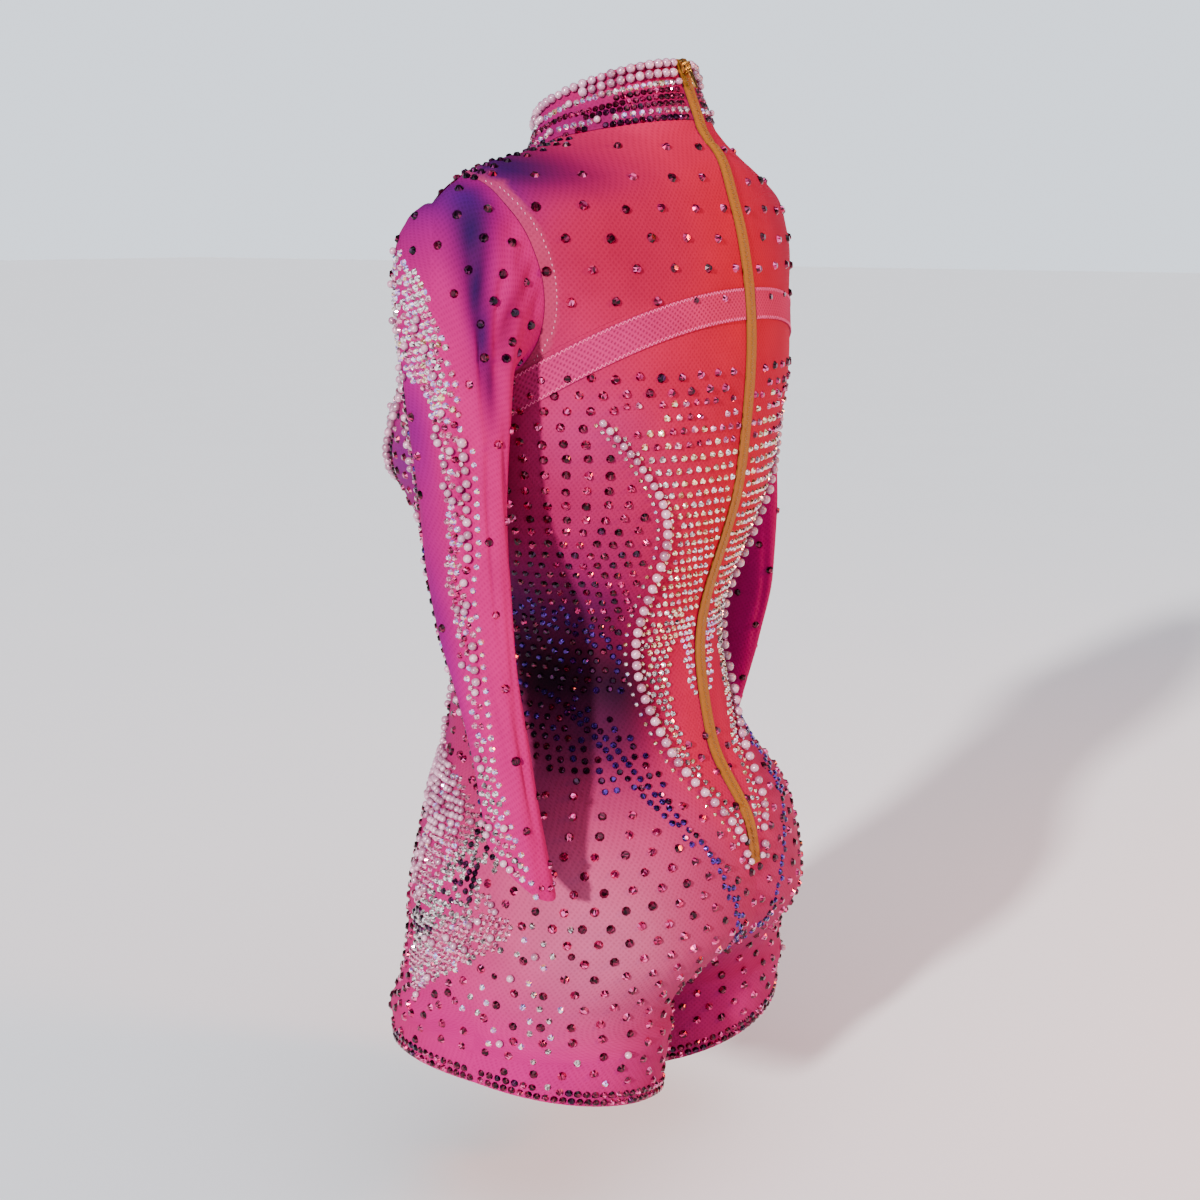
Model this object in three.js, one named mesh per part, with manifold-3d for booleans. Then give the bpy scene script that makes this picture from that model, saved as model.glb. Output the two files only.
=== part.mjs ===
// Stage bodysuit: a hollow, long-sleeved suit of stretch mesh with a stand collar, short legs,
// an exposed zip down the centre back and an inner band stitched across the shoulder blades.
// Millimetres, +Z up. The front faces -Y and the wearer's left side is +X. The origin is the
// centre of the neck base, where the suit hangs from its wearer.
import * as THREE from 'three';
import { mergeVertices } from 'three/addons/utils/BufferGeometryUtils.js';
import Module from 'manifold-3d';

// Driving sizes.
const cloth = 1.2;
const collarCloth = 1.6;
const seamGap = 0.3;
const layerGap = 0.35;

const neck = { mid: -22, frontDrop: 22 };
const armhole = { top: -50, bottom: -184, middle: -7, reach: 53 };
const seatZ = -556;
const crotch = { z: -636, y: -2, sharpness: 2.2 };
const hem = { side: -658, inseamBack: -714, inseamFront: -694, frontLift: 4 };
const legInset = 7;
const figureRoundness = 2.3;
const legRoundness = 2.1;
const cup = { out: 66, z: -233, wide: 42, tall: 46, depth: 26 };
const seatLobe = { out: 72, z: -560, wide: 46, tall: 52, depth: 7 };

const zip = { halfOpening: 1.5, end: -521, tapeWidth: 6.4, tapeThickness: 0.9, overrun: 10 };
const slider = { length: 11, width: 7.6, height: 2.2, place: 0.86 };
const bail = { width: 1.8, length: 5.6, height: 3.6, post: 1.1, bar: 1, sunk: 0.3 };
const pull = {
  length: 17, width: 5.2, tipWidth: 3.2, thickness: 1, slot: 4.4, slotWidth: 2.7, bar: 1, rest: 4.5,
};
const band = { top: -194, bottom: -220, thickness: 1 };
const collar = { topHalf: 54, topFront: 50, topBack: 51, topMid: 10, topTilt: 19 };

// Torso sections down the body: half width, front and back depth from the neck's axis, and the
// y of the side seam.
const figure = [
  { z: 4, half: 57, front: 50, back: 60, side: -2 },
  { z: -22, half: 62, front: 58, back: 67, side: -2 },
  { z: -32, half: 98, front: 66, back: 69, side: -2 },
  { z: -40, half: 138, front: 74, back: 72, side: -3 },
  { z: -50, half: 171, front: 82, back: 77, side: -4 },
  { z: -66, half: 179, front: 90, back: 85, side: -5 },
  { z: -100, half: 177, front: 100, back: 93, side: -6 },
  { z: -140, half: 169, front: 111, back: 101, side: -6 },
  { z: -184, half: 155, front: 121, back: 107, side: -6 },
  { z: -232, half: 150, front: 130, back: 110, side: -5 },
  { z: -290, half: 127, front: 120, back: 104, side: -6 },
  { z: -368, half: 88, front: 124, back: 73, side: -10 },
  { z: -440, half: 112, front: 116, back: 84, side: -8 },
  { z: -500, half: 150, front: 121, back: 116, side: -5 },
  { z: -556, half: 165, front: 127, back: 121, side: -4 },
  { z: -640, half: 168, front: 130, back: 103, side: -4 },
  { z: -760, half: 158, front: 112, back: 80, side: -4 },
];

// How much higher a row runs at the centre back than at its side seam, which is what gives the
// band its slope, and how far it sags on the way there behind and before the shoulder.
const rowRun = [
  { z: -22, rise: 11, backSag: 0, frontSag: 0 },
  { z: -50, rise: 24, backSag: 22, frontSag: 16 },
  { z: -100, rise: 41, backSag: 12, frontSag: 8 },
  { z: -150, rise: 57, backSag: 0, frontSag: 0 },
  { z: -220, rise: 70, backSag: 0, frontSag: 0 },
  { z: -368, rise: 0, backSag: 0, frontSag: 0 },
];

// Leg sections below the seat: how far the wall stands from the inseam plane at front and back.
const leg = { front: 122, back: 94, hemFront: 116, hemBack: 86 };

// The sleeve's rings, by the outermost and innermost point of each, its half width from front to
// back, and the y of its middle on either side: the left sleeve swings back over the hip, and the
// right one hangs forward.
const sleeveRings = [
  { topX: 171, topZ: -50, lowX: 155, lowZ: -184, wide: 53, leftY: -7, rightY: -7 },
  { topX: 187, topZ: -58, lowX: 158, lowZ: -187, wide: 50, leftY: -6, rightY: -7 },
  { topX: 198, topZ: -76, lowX: 161, lowZ: -193, wide: 48, leftY: -5, rightY: -7 },
  { topX: 205, topZ: -106, lowX: 163, lowZ: -203, wide: 46, leftY: -4, rightY: -6 },
  { topX: 207, topZ: -146, lowX: 166, lowZ: -217, wide: 44, leftY: -2, rightY: -5 },
  { topX: 206, topZ: -192, lowX: 168, lowZ: -240, wide: 40, leftY: 0, rightY: -3 },
  { topX: 204, topZ: -240, lowX: 170, lowZ: -270, wide: 36, leftY: 3, rightY: 0 },
  { topX: 202, topZ: -292, lowX: 172, lowZ: -310, wide: 34, leftY: 8, rightY: 3 },
  { topX: 201, topZ: -342, lowX: 174, lowZ: -352, wide: 31, leftY: 16, rightY: 3 },
  { topX: 202, topZ: -390, lowX: 173, lowZ: -395, wide: 27, leftY: 28, rightY: -4 },
  { topX: 203, topZ: -436, lowX: 172, lowZ: -439, wide: 25, leftY: 39, rightY: -16 },
  { topX: 204, topZ: -484, lowX: 171, lowZ: -485, wide: 26, leftY: 49, rightY: -32 },
];
const sleeve = { rings: 20, cuffPoint: 20 };

// Soft troughs that run down each sleeve from the shoulder: where round the ring, how wide in
// degrees, how deep, and the rings they start, peak and end at, as shares of the sleeve's length.
const sleeveTroughs = [
  { at: 36, wide: 15, depth: 9, start: 0.12, peak: 0.34, end: 0.85 },
  { at: 72, wide: 13, depth: 8, start: 0.1, peak: 0.32, end: 0.7 },
  { at: 342, wide: 15, depth: 7, start: 0.14, peak: 0.4, end: 0.95 },
  { at: 288, wide: 15, depth: 8, start: 0.12, peak: 0.34, end: 0.8 },
  { at: 198, wide: 17, depth: 5, start: 0.2, peak: 0.45, end: 0.9 },
];

// How finely each piece is cut into flat facets.
const facets = {
  columns: 9, neckRows: 4, armRows: 10, bandRows: 2, sideRows: 14, seatRows: 6, legRows: 3, collarRows: 3,
};

const v3 = (x, y, z) => new THREE.Vector3(x, y, z);
const lerp = THREE.MathUtils.lerp;
const smooth = (x, from, to) => THREE.MathUtils.smoothstep(x, from, to);
const degrees = THREE.MathUtils.degToRad;
const bell = (distance, width) => Math.exp(-0.5 * (distance / width) ** 2);

// A smooth curve through one column of a table, which never overshoots its rows.
function column(rows, key, name) {
  const sorted = [...rows].sort((a, b) => a[key] - b[key]);
  const at = sorted.map((row) => row[key]);
  const value = sorted.map((row) => row[name]);
  const last = at.length - 1;
  const rise = at.slice(1).map((x, i) => (value[i + 1] - value[i]) / (x - at[i]));
  const slope = at.map((_, i) => {
    if (i === 0 || i === last) return rise[Math.min(i, last - 1)];
    if (rise[i - 1] * rise[i] <= 0) return 0;
    return 2 / (1 / rise[i - 1] + 1 / rise[i]);
  });
  return (x) => {
    if (x <= at[0]) return value[0];
    if (x >= at[last]) return value[last];
    let i = 0;
    while (x > at[i + 1]) i += 1;
    const span = at[i + 1] - at[i];
    const t = (x - at[i]) / span;
    const start = (1 + 2 * t) * (1 - t) ** 2 * value[i] + t * (1 - t) ** 2 * span * slope[i];
    return start + t * t * (3 - 2 * t) * value[i + 1] + t * t * (t - 1) * span * slope[i + 1];
  };
}

const halfWidth = column(figure, 'z', 'half');
const frontDepth = column(figure, 'z', 'front');
const backDepth = column(figure, 'z', 'back');
const sideY = column(figure, 'z', 'side');
const riseAt = column(rowRun, 'z', 'rise');
const backSag = column(rowRun, 'z', 'backSag');
const frontSag = column(rowRun, 'z', 'frontSag');

// A row is named by its z at the side seam. It rises to the centre back, drops to the centre
// front near the neck, and slopes to the hem below the crotch.
function rowZ(facing, sideZ, turn) {
  const drop = -neck.frontDrop * smooth(sideZ, armhole.bottom, neck.mid);
  let z = sideZ + (facing > 0 ? riseAt(sideZ) : drop) * Math.cos((turn * Math.PI) / 2);
  z -= (facing > 0 ? backSag(sideZ) : frontSag(sideZ)) * Math.sin(Math.PI * turn);
  if (sideZ < crotch.z) {
    const share = (crotch.z - sideZ) / (crotch.z - hem.side);
    const inseam = facing > 0 ? hem.inseamBack : hem.inseamFront;
    const lift = facing < 0 ? hem.frontLift * Math.sin(Math.PI * turn) : 0;
    z += share * ((inseam - hem.side) * (1 - turn) ** 1.3 + lift);
  }
  return z;
}

// A point on the left half of a row. facing is 1 for the back and -1 for the front, and turn
// runs from 0 at the centre line or inseam to 1 at the side seam.
function rowPoint(facing, sideZ, turn) {
  const z = rowZ(facing, sideZ, turn);
  const angle = (turn * Math.PI) / 2;
  const side = sideY(sideZ);
  const depth = facing > 0 ? backDepth(sideZ) : -frontDepth(sideZ);
  const power = 2 / figureRoundness;
  let x = halfWidth(sideZ) * Math.sin(angle) ** power;
  let y = side + (depth - side) * Math.max(Math.cos(angle), 0) ** power;
  if (facing < 0) y -= cup.depth * bell(x - cup.out, cup.wide) * bell(z - cup.z, cup.tall);
  else y += seatLobe.depth * bell(x - seatLobe.out, seatLobe.wide) * bell(z - seatLobe.z, seatLobe.tall);
  const drop = THREE.MathUtils.clamp((seatZ - sideZ) / (seatZ - crotch.z), 0, 1);
  if (drop === 0) return v3(x, y, z);
  const below = Math.max(crotch.z - sideZ, 0) / (crotch.z - hem.side);
  const inner = legInset * below;
  const outer = halfWidth(sideZ);
  const wall = facing > 0 ? lerp(leg.back, leg.hemBack, below) : -lerp(leg.front, leg.hemFront, below);
  const round = Math.PI * turn;
  const legPower = 2 / legRoundness;
  const across = -Math.sign(Math.cos(round)) * Math.abs(Math.cos(round)) ** legPower;
  const legX = (inner + outer) / 2 + ((outer - inner) / 2) * across;
  const legY = lerp(crotch.y, side, turn) + wall * Math.max(Math.sin(round), 0) ** legPower;
  const share = drop ** crotch.sharpness;
  return v3(lerp(x, legX, share), lerp(y, legY, share), z);
}

// How far round from the centre line a row runs before it meets the armhole.
function rowEnd(facing, sideZ) {
  const middleZ = (armhole.top + armhole.bottom) / 2;
  const halfHeight = (armhole.top - armhole.bottom) / 2;
  if (Math.abs(sideZ - middleZ) >= halfHeight - 0.01) return 1;
  let outside = 0.2;
  let inside = 1;
  for (let step = 0; step < 40; step += 1) {
    const turn = (outside + inside) / 2;
    const p = rowPoint(facing, sideZ, turn);
    const hole = ((p.y - armhole.middle) / armhole.reach) ** 2 + ((p.z - middleZ) / halfHeight) ** 2;
    if (hole < 1) inside = turn;
    else outside = turn;
  }
  return (outside + inside) / 2;
}

const steps = (from, to, count) => Array.from({ length: count }, (_, i) => lerp(from, to, (i + 1) / count));
const armMiddle = (armhole.top + armhole.bottom) / 2;
const armHalf = (armhole.top - armhole.bottom) / 2;
const rows = [
  neck.mid,
  ...steps(neck.mid, armhole.top, facets.neckRows),
  ...steps(0, 1, facets.armRows).map((share) => armMiddle + armHalf * Math.cos(Math.PI * share)),
  band.top,
  ...steps(band.top, band.bottom, facets.bandRows),
  ...steps(band.bottom, seatZ, facets.sideRows),
  ...steps(seatZ, crotch.z, facets.seatRows),
  ...steps(crotch.z, hem.side, facets.legRows),
];
const firstArmRow = facets.neckRows;
const lastArmRow = firstArmRow + facets.armRows;
const bandRow = lastArmRow + 1;
const crotchRow = rows.length - 1 - facets.legRows;

// The left half of one panel as rows of points, before its seams are opened.
function panelGrid(facing) {
  return rows.map((sideZ) => {
    const end = rowEnd(facing, sideZ);
    const turns = Array.from({ length: facets.columns + 1 }, (_, c) => (end * c) / facets.columns);
    return turns.map((turn) => rowPoint(facing, sideZ, turn));
  });
}

// Moves the panel's edges apart so that neighbours keep the seam gap.
function openSeams(grid, facing) {
  grid.forEach((row, r) => {
    const inArmhole = r > firstArmRow && r < lastArmRow;
    if (!inArmhole) row[facets.columns].y += (facing * seamGap) / 2;
    if (r >= crotchRow) row[0].y += (facing * seamGap) / 2;
    if (facing > 0 && r <= crotchRow) row[0].x = row[0].z > zip.end ? zip.halfOpening : seamGap / 2;
  });
  return grid;
}

// A sheet is a list of points and of quads of their indices. It becomes one closed wall by
// copying it inwards along its normals and closing the rim.
class Sheet {
  constructor() {
    this.points = [];
    this.quads = [];
    this.flatten = new Map();
  }

  add(point) {
    this.points.push(point.clone());
    return this.points.length - 1;
  }

  // Adds a grid of points, whose first column may reuse the indices of another grid.
  addGrid(grid, flip = false, shared = []) {
    const reused = (r, c) => c === 0 && shared[r] !== undefined;
    const index = grid.map((row, r) => row.map((p, c) => (reused(r, c) ? shared[r] : this.add(p))));
    for (let r = 0; r + 1 < grid.length; r += 1) {
      for (let c = 0; c + 1 < grid[r].length; c += 1) {
        const quad = [index[r][c], index[r + 1][c], index[r + 1][c + 1], index[r][c + 1]];
        this.quads.push(flip ? quad.reverse() : quad);
      }
    }
    return index;
  }

  // On a seam the normal stays in the plane of the cut, so that the two sides never cross.
  keepNormalClearOf(indices, axis) {
    indices.forEach((i) => this.flatten.set(i, [...(this.flatten.get(i) || []), axis]));
  }

  normals() {
    const sum = this.points.map(() => v3(0, 0, 0));
    for (const [a, b, c, d] of this.quads) {
      const across = this.points[c].clone().sub(this.points[a]);
      const other = this.points[d].clone().sub(this.points[b]);
      const normal = across.cross(other);
      [a, b, c, d].forEach((i) => sum[i].add(normal));
    }
    return sum.map((n, i) => {
      for (const axis of this.flatten.get(i) || []) n[axis] = 0;
      return n.normalize();
    });
  }

  wall(thickness, lift = 0) {
    const normals = this.normals();
    const outer = this.points.map((p, i) => p.clone().addScaledVector(normals[i], lift));
    const inner = outer.map((p, i) => p.clone().addScaledVector(normals[i], -thickness));
    const count = outer.length;
    const positions = [...outer, ...inner].flatMap((p) => [p.x, p.y, p.z]);
    const index = [];
    const edges = new Map();
    for (const quad of this.quads) {
      const [a, b, c, d] = quad;
      const level = quad.map((i) => i + count);
      // The shorter diagonal follows a curved wall more closely.
      const short = this.points[a].distanceTo(this.points[c]) <= this.points[b].distanceTo(this.points[d]);
      if (short) {
        index.push(a, b, c, a, c, d, level[0], level[2], level[1], level[0], level[3], level[2]);
      } else {
        index.push(a, b, d, b, c, d, level[0], level[3], level[1], level[1], level[3], level[2]);
      }
      quad.forEach((from, i) => edges.set(`${from},${quad[(i + 1) % 4]}`, [from, quad[(i + 1) % 4]]));
    }
    for (const [from, to] of edges.values()) {
      if (!edges.has(`${to},${from}`)) index.push(to, from, from + count, to, from + count, to + count);
    }
    const geometry = new THREE.BufferGeometry();
    geometry.setAttribute('position', new THREE.Float32BufferAttribute(positions, 3));
    geometry.setIndex(index);
    geometry.computeVertexNormals();
    return geometry;
  }
}

const mirrored = (grid) => grid.map((row) => row.map((p) => v3(-p.x, p.y, p.z)));
const outerColumn = (index, from, to) => index.slice(from, to).map((row) => row[facets.columns]);
const innerColumn = (index, from, to) => index.slice(from, to).map((row) => row[0]);

function keepSideSeam(sheet, index) {
  sheet.keepNormalClearOf(outerColumn(index, 0, firstArmRow + 1), 'y');
  sheet.keepNormalClearOf(outerColumn(index, lastArmRow), 'y');
  sheet.keepNormalClearOf(innerColumn(index, crotchRow), 'y');
}

const backGrid = openSeams(panelGrid(1), 1);
const frontGrid = openSeams(panelGrid(-1), -1);

function frontPanel() {
  const sheet = new Sheet();
  const left = sheet.addGrid(frontGrid);
  const shared = left.map((row, r) => (r <= crotchRow ? row[0] : undefined));
  const right = sheet.addGrid(mirrored(frontGrid), true, shared);
  keepSideSeam(sheet, left);
  keepSideSeam(sheet, right);
  return sheet.wall(cloth);
}

function backPanel(side) {
  const sheet = new Sheet();
  const grid = side > 0 ? backGrid : mirrored(backGrid);
  const index = sheet.addGrid(grid, side > 0);
  keepSideSeam(sheet, index);
  sheet.keepNormalClearOf(innerColumn(index, 0, crotchRow), 'x');
  return sheet.wall(cloth);
}

// The armhole's edge on the left half, from the shoulder round the back to the underarm and up
// the front.
function armholeLoop() {
  const edge = (grid) => grid.slice(firstArmRow, lastArmRow + 1).map((row) => row[facets.columns]);
  const back = edge(backGrid);
  const front = edge(frontGrid).slice(1, -1).reverse();
  return [...back, ...front];
}

const ringTable = sleeveRings.map((ring, i) => ({ ...ring, share: i / (sleeveRings.length - 1) }));
const ringParts = ['topX', 'topZ', 'lowX', 'lowZ', 'wide', 'leftY', 'rightY'];
const ringColumn = Object.fromEntries(ringParts.map((name) => [name, column(ringTable, 'share', name)]));

function troughDepth(round, share) {
  let depth = 0;
  for (const trough of sleeveTroughs) {
    const gap = Math.abs(((round - trough.at + 540) % 360) - 180);
    const deepening = smooth(share, trough.start, trough.peak);
    const fading = 1 - 0.75 * smooth(share, trough.peak, trough.end);
    depth += trough.depth * deepening * fading * bell(gap, trough.wide);
  }
  return depth;
}

// A point of the left sleeve: share runs from the armhole to the cuff, round goes from the
// outside over the back in degrees.
function sleevePoint(share, round, side) {
  const ring = Object.fromEntries(Object.entries(ringColumn).map(([name, at]) => [name, at(share)]));
  const top = v3(ring.topX, 0, ring.topZ);
  const low = v3(ring.lowX, 0, ring.lowZ);
  const middle = top.clone().add(low).multiplyScalar(0.5);
  middle.y = side > 0 ? ring.leftY : ring.rightY;
  const outwards = top.sub(low).multiplyScalar(0.5);
  const angle = degrees(round);
  const reach = outwards.multiplyScalar(Math.cos(angle)).add(v3(0, ring.wide * Math.sin(angle), 0));
  reach.setLength(Math.max(reach.length() - troughDepth(round, share), 4));
  reach.z -= sleeve.cuffPoint * Math.sin(angle) * smooth(share, 0.55, 1);
  return middle.add(reach);
}

function sleevePiece(side) {
  const loop = armholeLoop();
  const centre = loop.reduce((sum, p) => sum.add(p), v3(0, 0, 0)).divideScalar(loop.length);
  const grid = [];
  for (let r = 0; r <= sleeve.rings; r += 1) {
    const share = (r / sleeve.rings) ** 1.15;
    const own = 1 - smooth(share, 0, 0.16);
    grid.push(
      loop.map((edge, i) => {
        const inward = centre.clone().sub(edge).setX(0).setLength(layerGap);
        const sewn = edge.clone().add(inward);
        const start = sleevePoint(0, (360 * i) / loop.length, side);
        const hung = sleevePoint(share, (360 * i) / loop.length, side);
        return hung.addScaledVector(sewn.sub(start), own);
      }),
    );
  }
  const closed = (side > 0 ? grid : mirrored(grid)).map((row) => [...row, row[0]]);
  const sheet = new Sheet();
  const count = loop.length;
  const index = closed.map((row) => row.slice(0, count).map((p) => sheet.add(p)));
  for (let r = 0; r < sleeve.rings; r += 1) {
    for (let c = 0; c < count; c += 1) {
      const next = (c + 1) % count;
      const quad = [index[r][c], index[r + 1][c], index[r + 1][next], index[r][next]];
      sheet.quads.push(side > 0 ? quad : quad.reverse());
    }
  }
  return sheet.wall(cloth);
}

// The collar's left half as rows of points from the neckline up. round is 0 at the centre back.
function collarGrid() {
  const neckline = [...backGrid[0], ...[...frontGrid[0]].reverse().slice(1)];
  const grid = [];
  for (let r = 0; r <= facets.collarRows; r += 1) {
    const share = r / facets.collarRows;
    grid.push(
      neckline.map((edge, i) => {
        const round = (Math.PI * i) / (neckline.length - 1);
        const depth = Math.cos(round) > 0 ? collar.topBack : collar.topFront;
        const height = collar.topMid + collar.topTilt * Math.cos(round);
        const top = v3(collar.topHalf * Math.sin(round), depth * Math.cos(round), height);
        const sewn = edge.clone().add(v3(0, 0, layerGap));
        const point = sewn.lerp(top, share);
        if (i === 0) point.x = zip.halfOpening;
        if (i === neckline.length - 1) point.x = 0;
        return point;
      }),
    );
  }
  return grid;
}

const collarLeft = collarGrid();

function collarPiece() {
  const sheet = new Sheet();
  const fromFront = (grid) => grid.map((row) => [...row].reverse());
  const left = sheet.addGrid(fromFront(collarLeft), true);
  const shared = left.map((row) => row[0]);
  const right = sheet.addGrid(mirrored(fromFront(collarLeft)), false, shared);
  const ends = [...left, ...right].map((row) => row[row.length - 1]);
  sheet.keepNormalClearOf(ends, 'x');
  return sheet.wall(collarCloth);
}

// The centre-back line from the collar's top to the zip's end, as pairs of neighbouring points
// on the cloth: the edge, and the next point round.
function zipLine() {
  const upper = [...collarLeft].reverse().map((row) => [row[0], row[1]]);
  const lower = backGrid
    .slice(1)
    .filter((row) => row[0].z > zip.end - zip.overrun)
    .map((row) => [row[0], row[1]]);
  return [...upper, ...lower];
}

function zipTape(side) {
  const grid = zipLine().map(([edge, next]) =>
    [seamGap / 2, zip.tapeWidth].map((x) => {
      const share = (x - edge.x) / (next.x - edge.x);
      return v3(side * x, lerp(edge.y, next.y, share), lerp(edge.z, next.z, share));
    }),
  );
  const sheet = new Sheet();
  const index = sheet.addGrid(grid, side > 0);
  sheet.keepNormalClearOf(index.flat(), 'x');
  return sheet.wall(zip.tapeThickness, layerGap + zip.tapeThickness);
}

// The inner band follows the back panel's own columns between the zip tape and the side seam.
function bandPiece(side) {
  const own = backGrid.slice(bandRow, bandRow + facets.bandRows + 1).map((row) => {
    const start = (zip.tapeWidth + 1 - row[0].x) / (row[1].x - row[0].x);
    return [row[0].clone().lerp(row[1], start), ...row.slice(1)];
  });
  const sheet = new Sheet();
  const index = sheet.addGrid(side > 0 ? own : mirrored(own), side > 0);
  sheet.keepNormalClearOf(index.map((row) => row[facets.columns]), 'y');
  return sheet.wall(band.thickness, layerGap + band.thickness);
}

const wasm = await Module();
wasm.setup();

function toSolid(geometry) {
  const plain = geometry.clone();
  plain.deleteAttribute('normal');
  plain.deleteAttribute('uv');
  const merged = mergeVertices(plain, 1e-4);
  const vertProperties = new Float32Array(merged.attributes.position.array);
  const triVerts = new Uint32Array(merged.index.array);
  return new wasm.Manifold(new wasm.Mesh({ numProp: 3, vertProperties, triVerts }));
}

function toGeometry(solid) {
  const mesh = solid.getMesh();
  const geometry = new THREE.BufferGeometry();
  geometry.setAttribute('position', new THREE.Float32BufferAttribute(mesh.vertProperties, 3));
  geometry.setIndex([...mesh.triVerts]);
  return geometry.toNonIndexed();
}

// An outline drawn in x and z, z running up the zip, raised by its depth away from the cloth.
function raised(shape, from, depth) {
  const geometry = new THREE.ExtrudeGeometry(shape, { depth, bevelEnabled: false, curveSegments: 6 });
  geometry.rotateX(Math.PI / 2);
  geometry.translate(0, from + depth, 0);
  return geometry;
}

function roundedPlate(width, length, corner) {
  const shape = new THREE.Shape();
  const w = width / 2;
  const l = length / 2;
  shape.absarc(w - corner, -l + corner, corner, -Math.PI / 2, 0);
  shape.absarc(w - corner, l - corner, corner, 0, Math.PI / 2);
  shape.absarc(-w + corner, l - corner, corner, Math.PI / 2, Math.PI);
  shape.absarc(-w + corner, -l + corner, corner, Math.PI, 1.5 * Math.PI);
  return shape;
}

// The slider's body with the arched bail that carries the pull. Its underside is at y 0.
function sliderGeometry() {
  const body = raised(roundedPlate(slider.width, slider.length, 2), 0, slider.height);
  const arch = new THREE.Shape();
  arch.moveTo(-bail.length / 2, 0);
  arch.lineTo(bail.length / 2, 0);
  arch.lineTo(bail.length / 2 - 0.6, bail.height);
  arch.lineTo(-bail.length / 2 + 0.6, bail.height);
  const eye = new THREE.Path();
  const eyeHalf = bail.length / 2 - bail.post;
  eye.moveTo(-eyeHalf, 0.4);
  eye.lineTo(-eyeHalf + 0.3, bail.height - bail.bar);
  eye.lineTo(eyeHalf - 0.3, bail.height - bail.bar);
  eye.lineTo(eyeHalf, 0.4);
  arch.holes.push(eye);
  const bridge = new THREE.ExtrudeGeometry(arch, { depth: bail.width, bevelEnabled: false });
  bridge.rotateY(-Math.PI / 2);
  bridge.translate(bail.width / 2, slider.height - bail.sunk, 0);
  return toGeometry(toSolid(body).add(toSolid(bridge)));
}

// The pull hangs from its top bar, whose middle is the origin.
function pullGeometry() {
  const shape = new THREE.Shape();
  const top = pull.bar / 2;
  const half = pull.width / 2;
  const tip = pull.tipWidth / 2;
  shape.moveTo(-half, top);
  shape.lineTo(-half, -pull.slot - 1);
  shape.absarc(0, -pull.length + tip, tip, Math.PI, 2 * Math.PI);
  shape.lineTo(half, -pull.slot - 1);
  shape.lineTo(half, top);
  const slot = new THREE.Path();
  slot.moveTo(-pull.slotWidth / 2, -top);
  slot.lineTo(pull.slotWidth / 2, -top);
  slot.lineTo(pull.slotWidth / 2, -pull.slot);
  slot.lineTo(-pull.slotWidth / 2, -pull.slot);
  shape.holes.push(slot);
  return raised(shape, -pull.thickness / 2, pull.thickness);
}

// Where the slider sits on the tape, and how the tape leans there.
function sliderSeat() {
  const low = collarLeft[0][0];
  const high = collarLeft[facets.collarRows][0];
  const lean = Math.atan2(low.y - high.y, high.z - low.z);
  const at = low.clone().lerp(high, slider.place).setX(0);
  const outwards = v3(0, Math.cos(lean), Math.sin(lean));
  const proud = 2 * layerGap + zip.tapeThickness;
  return { at: at.addScaledVector(outwards, proud), lean };
}

const paint = {
  pinkMesh: new THREE.MeshStandardMaterial({ color: '#e0407f', roughness: 0.75, metalness: 0 }),
  magentaMesh: new THREE.MeshStandardMaterial({ color: '#d9359a', roughness: 0.75, metalness: 0 }),
  paleBand: new THREE.MeshStandardMaterial({ color: '#e0709a', roughness: 0.8, metalness: 0 }),
  tape: new THREE.MeshStandardMaterial({ color: '#c08a3c', roughness: 0.7, metalness: 0 }),
  metal: new THREE.MeshStandardMaterial({ color: '#c9a15a', roughness: 0.35, metalness: 0.9 }),
};

function piece(name, geometry, material) {
  const mesh = new THREE.Mesh(geometry, material);
  mesh.name = name;
  return mesh;
}

const suit = new THREE.Group();
suit.add(
  piece('front', frontPanel(), paint.pinkMesh),
  piece('back_left', backPanel(1), paint.pinkMesh),
  piece('back_right', backPanel(-1), paint.pinkMesh),
  piece('sleeve_left', sleevePiece(1), paint.magentaMesh),
  piece('sleeve_right', sleevePiece(-1), paint.magentaMesh),
  piece('collar', collarPiece(), paint.pinkMesh),
  piece('back_band_left', bandPiece(1), paint.paleBand),
  piece('back_band_right', bandPiece(-1), paint.paleBand),
  piece('zip_tape_left', zipTape(1), paint.tape),
  piece('zip_tape_right', zipTape(-1), paint.tape),
);

const seat = sliderSeat();
const closure = new THREE.Group();
closure.position.copy(seat.at);
closure.rotation.x = seat.lean;
const pullMesh = piece('zip_pull', pullGeometry(), paint.metal);
pullMesh.position.set(0, slider.height + (bail.height - bail.bar - bail.sunk) / 2, 0);
pullMesh.rotation.x = degrees(pull.rest);
closure.add(piece('zip_slider', sliderGeometry(), paint.metal), pullMesh);
suit.add(closure);

export default suit;
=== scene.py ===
import math

import bpy
import numpy as np
from mathutils import Matrix, Vector


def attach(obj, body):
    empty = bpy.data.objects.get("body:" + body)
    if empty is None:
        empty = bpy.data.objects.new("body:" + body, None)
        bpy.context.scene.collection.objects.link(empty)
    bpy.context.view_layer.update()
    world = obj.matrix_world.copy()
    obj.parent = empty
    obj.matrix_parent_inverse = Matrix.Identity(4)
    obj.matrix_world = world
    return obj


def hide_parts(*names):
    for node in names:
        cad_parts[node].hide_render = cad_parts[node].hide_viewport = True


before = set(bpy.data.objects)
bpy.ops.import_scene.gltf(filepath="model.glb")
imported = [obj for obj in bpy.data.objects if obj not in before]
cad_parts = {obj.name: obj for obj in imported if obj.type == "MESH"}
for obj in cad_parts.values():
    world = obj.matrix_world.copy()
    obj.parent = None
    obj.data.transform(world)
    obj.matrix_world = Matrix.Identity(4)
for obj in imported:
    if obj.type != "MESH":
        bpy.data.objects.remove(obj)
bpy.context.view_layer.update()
print("frame loaded")

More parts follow.
